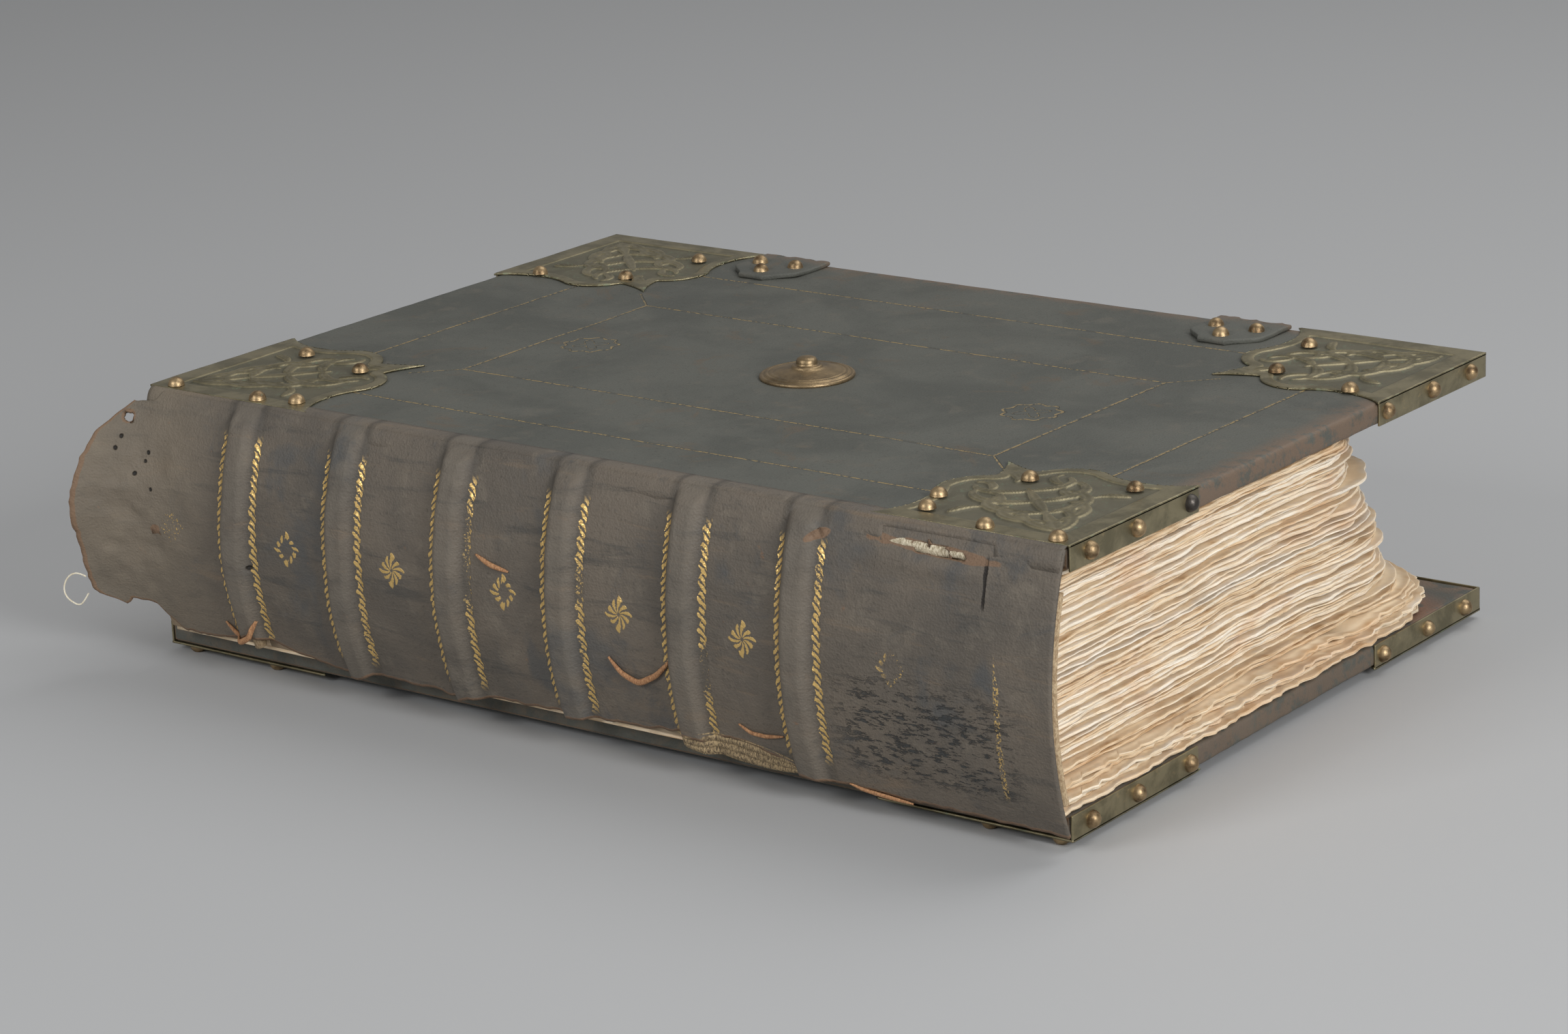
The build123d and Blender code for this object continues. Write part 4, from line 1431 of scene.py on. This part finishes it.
def sewingCords():
    """The cords under the bands, seen only through the torn leather."""
    cord = {"radius": 2.45, "ring": 138.9, "reach": 18.0, "steps": 30, "sides": 12}
    axisY, axisZ = spine["axis"]
    steps, sides = cord["steps"], cord["sides"]
    angles = np.radians(np.linspace(-cord["reach"], cord["reach"], steps))
    turn, ring = np.meshgrid(np.linspace(0, 2 * pi, sides, endpoint=False), angles)
    far = cord["ring"] + cord["radius"] * np.cos(turn)
    y, z = axisY - far * np.cos(ring), axisZ + far * np.sin(ring)
    faces = gridFaces(steps, sides, wrap=True).tolist()
    faces += [list(range(sides)), list(range((steps - 1) * sides, steps * sides))]
    parts = [(np.stack([band + cord["radius"] * np.sin(turn), y, z], -1), faces) for band in book["bands"]]
    points, faces = joinParts(parts)
    piece = makePiece("sewingCords", points, faces, finishes["cord"], level=True)
    nodes = [f"sewing_cord_{k + 1}" for k in range(len(book["bands"]))]
    settle(piece, "text_block", "hemp_cord", *nodes)


sewingCords()


def leatherY(x, z):
    """Where the outer surface of the leather is, at x and height z, as a y value."""
    angle, _, swell, bands = backCurve(x, z)
    return beyondBack(angle, swell + bands)


def tornLining():
    """What shows where the leather has gone: parchment in the slit, folds of it in the lower tear."""
    patches = (
        ("slitLining", "lining", (364.0, 410.0), (104.0, 108.6), 1.2, 1.0, 1.2),
        ("foldedLining", "foldedLining", (268.0, 326.0), (11.0, 21.5), 0.9, 3.5, 0.9),
    )
    # Each patch: names, reach in x and z, how deep it lies, its ridges and how far they swell.
    for name, finish, across, levels, deep, ridges, swell in patches:
        a, b = np.meshgrid(np.linspace(0, 1, 70), np.linspace(0, 1, 22), indexing="ij")
        ends = np.sin(pi * a) ** 0.45
        x = across[0] + (across[1] - across[0]) * a
        z = sum(levels) / 2 + (b - 0.5) * (levels[1] - levels[0]) * ends
        z = z - (a - 0.4) * 5.0 * (ridges > 1)
        roll = np.abs(np.sin(pi * b * ridges + noise(x, z, 11.0, 160) * 0.7))
        y = leatherY(x, z) + deep - swell * roll * ends + noise(x, z, 6.0, 161) * 0.3
        piece = makePiece(name, np.stack([x, y, z], -1), gridFaces(70, 22)[:, ::-1], finishes[finish])
        thicken(piece, 0.4, -1.0)
        settle(piece, "text_block", "parchment")


tornLining()


def peelings():
    """Strips of the leather's skin that have curled off it: each a route, half a width and its stand."""
    steps = 34
    strips = (
        (((180.5, 74.8), (188.0, 72.0), (196.5, 70.4)), 1.3, 0.5),
        (((242.5, 44.5), (248.0, 39.0), (256.0, 36.2), (265.0, 41.0), (272.0, 48.0)), 1.7, 0.8),
        (((42.5, 24.5), (47.5, 20.0), (53.0, 18.4), (59.5, 21.8), (63.0, 29.0)), 1.7, 1.3),
        (((300.0, 27.5), (305.0, 24.8), (312.0, 24.6), (320.0, 26.0)), 1.1, 0.3),
        (((346.0, 11.5), (352.0, 10.2), (362.0, 9.4), (373.0, 8.4)), 1.2, 0.5),
    )
    parts = []
    for route, width, stand in strips:
        route = np.array(route, float)
        run = np.concatenate([[0], np.cumsum(np.linalg.norm(np.diff(route, axis=0), axis=1))])
        place = np.linspace(0, run[-1], steps)
        bend = np.stack([np.interp(place, run, route[:, k]) for k in (0, 1)], -1)
        for _ in range(4):
            bend[1:-1] = (bend[:-2] + bend[1:-1] * 2 + bend[2:]) / 4
        way = np.gradient(bend, axis=0)
        way /= np.linalg.norm(way, axis=1, keepdims=True)
        t = np.linspace(0, 1, steps)[:, None]
        wide = width * np.sin(pi * np.clip(t, 0.03, 0.97)) ** 0.5
        turn = np.linspace(-0.35, 1.15, 11)[None, :] * pi
        side = wide * np.cos(turn) * 0.62
        lift = wide * np.sin(turn) * 0.5 + stand * np.sin(pi * t)
        x = bend[:, :1] - way[:, 1:] * side
        z = bend[:, 1:] + way[:, :1] * side
        y = leatherY(x, z) - 0.35 - lift
        parts.append((np.stack([x, y, z], -1), gridFaces(steps, 11)))
    points, faces = joinParts(parts)
    piece = makePiece("peelings", points, faces, finishes["peel"])
    thicken(piece, 0.35, 0.0)
    settle(piece, "text_block", "spine_leather")


peelings()
print("spine made")


# ---------- the joints' leather, straps, thread

def upperJoint():
    """The leather over the upper joint, from the cover's face down on to the back."""
    x = np.linspace(1.5, 438.8, 240)
    profile = np.array([
        (7.0, 0.02), (4.5, 0.1), (2.4, 0.16), (0.8, 0.14), (-0.6, -0.25), (-1.7, -1.2), (-2.5, -2.6),
        (-3.3, -5.0), (-4.2, -8.0),
    ])
    xs, rows = np.meshgrid(x, np.arange(len(profile)), indexing="ij")
    y, z = profile[rows, 0], profile[rows, 1]
    y = y + noise(xs, y, 12.0, 130) * 0.25
    points = np.stack([xs, y, z + book["jointHeight"]], -1)
    slit = (np.abs(xs - 387.0) < 23) & (points[..., 2] < 109.6)
    faces = gridFaces(*xs.shape)
    faces = faces[~slit.reshape(-1)[faces].any(axis=1)]
    used, faces = dropUnused(points.reshape(-1, 3), faces)
    values = {"raw": np.zeros(len(used))}
    piece = makePiece("upperJointLeather", used, faces, finishes["spine"], values=values)
    thicken(piece, 0.5, -1.0)
    lower = Vector(toModel((220.0, -3.0, book["jointHeight"] - 2.0)))
    upper = Vector(toModel((220.0, 3.0, book["jointHeight"])))
    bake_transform(piece)


upperJoint()


def strapStub(end, middle, seed):
    """A clasp strap torn off short: thick leather with a ragged end at the fore-edge."""
    half, fore, inner = strap["half"], strap["fore"], strap["inner"]

    def shape(points):
        x, y = points[:, 0] - middle, points[:, 1]
        narrow = smooth(inner + 13.0 - y, 0.0, 13.0)
        points[:, 0] = middle + x * (1 - 0.62 * narrow)
        points[:, 2] += noise(points[:, 0], y, 8.0, seed) * 0.25
        points[:, 1] += np.where(y > fore - 3, noise(points[:, 0], y * 0, 3.0, seed + 1) * 1.2 - 1.0, 0)
        return points

    low, high = (middle - half, inner, 0.02), (middle + half, fore, 2.0)
    points, faces = roundedSlab(low, high, 0.8, 2.0, shape)
    piece = makePiece(f"{end}Strap", points, faces, finishes["strap"], onUpper, level=True)
    settle(piece, "front_cover", "strap_leather", f"{end}_strap_stub")


finishes["strap"] = coverLeather("strapLeather", False)
for end, middle, seed in zip(("head", "tail"), strap["middles"], (140, 150)):
    strapStub(end, middle, seed)


def looseThread():
    """The end of sewing thread that hangs out at the head."""
    route = (
        (-20.25, -24.8, 37.4), (-23.4, -25.6, 38.8), (-26.9, -26.8, 38.0), (-29.3, -27.8, 35.2),
        (-30.2, -28.4, 31.6), (-29.0, -28.4, 28.4), (-26.2, -27.8, 26.4), (-23.0, -27.2, 25.4),
        (-20.6, -26.6, 27.4), (-18.7, -25.8, 30.8),
    )
    data = bpy.data.curves.new("looseThread", "CURVE")
    data.dimensions = "3D"
    line = data.splines.new("NURBS")
    line.points.add(len(route) - 1)
    for point, place in zip(line.points, toModel(route)):
        point.co = (*place, 1.0)
    line.order_u = 3
    line.use_endpoint_u = True
    data.bevel_depth = 0.00035
    data.bevel_resolution = 2
    data.resolution_u = 12
    data.use_fill_caps = True
    data.materials.append(finishes["thread"])
    piece = bpy.data.objects.new("looseThread", data)
    bpy.context.collection.objects.link(piece)
    settle(piece, "text_block", "sewing_thread", "loose_thread")
    tuple(toModel(route[0]))


looseThread()


def coatFrame():
    """Finishes for the CAD pieces that stay in view."""
    wanted = {
        "oak_board": "wood",
        "pastedown_paper": "pastedown",
        "parchment": "parchment",
        "hemp_cord": "cord",
        "plate_brass": "plate",
    }
    slots = {part["node"]: part["material_slot"] for part in frame["record"]["subparts"]}
    for node, piece in frame["nodes"].items():
        key = wanted.get(slots.get(node))
        if key:
            piece.data.materials.clear()
            piece.data.materials.append(finishes[key])


coatFrame()
print("frame coated")
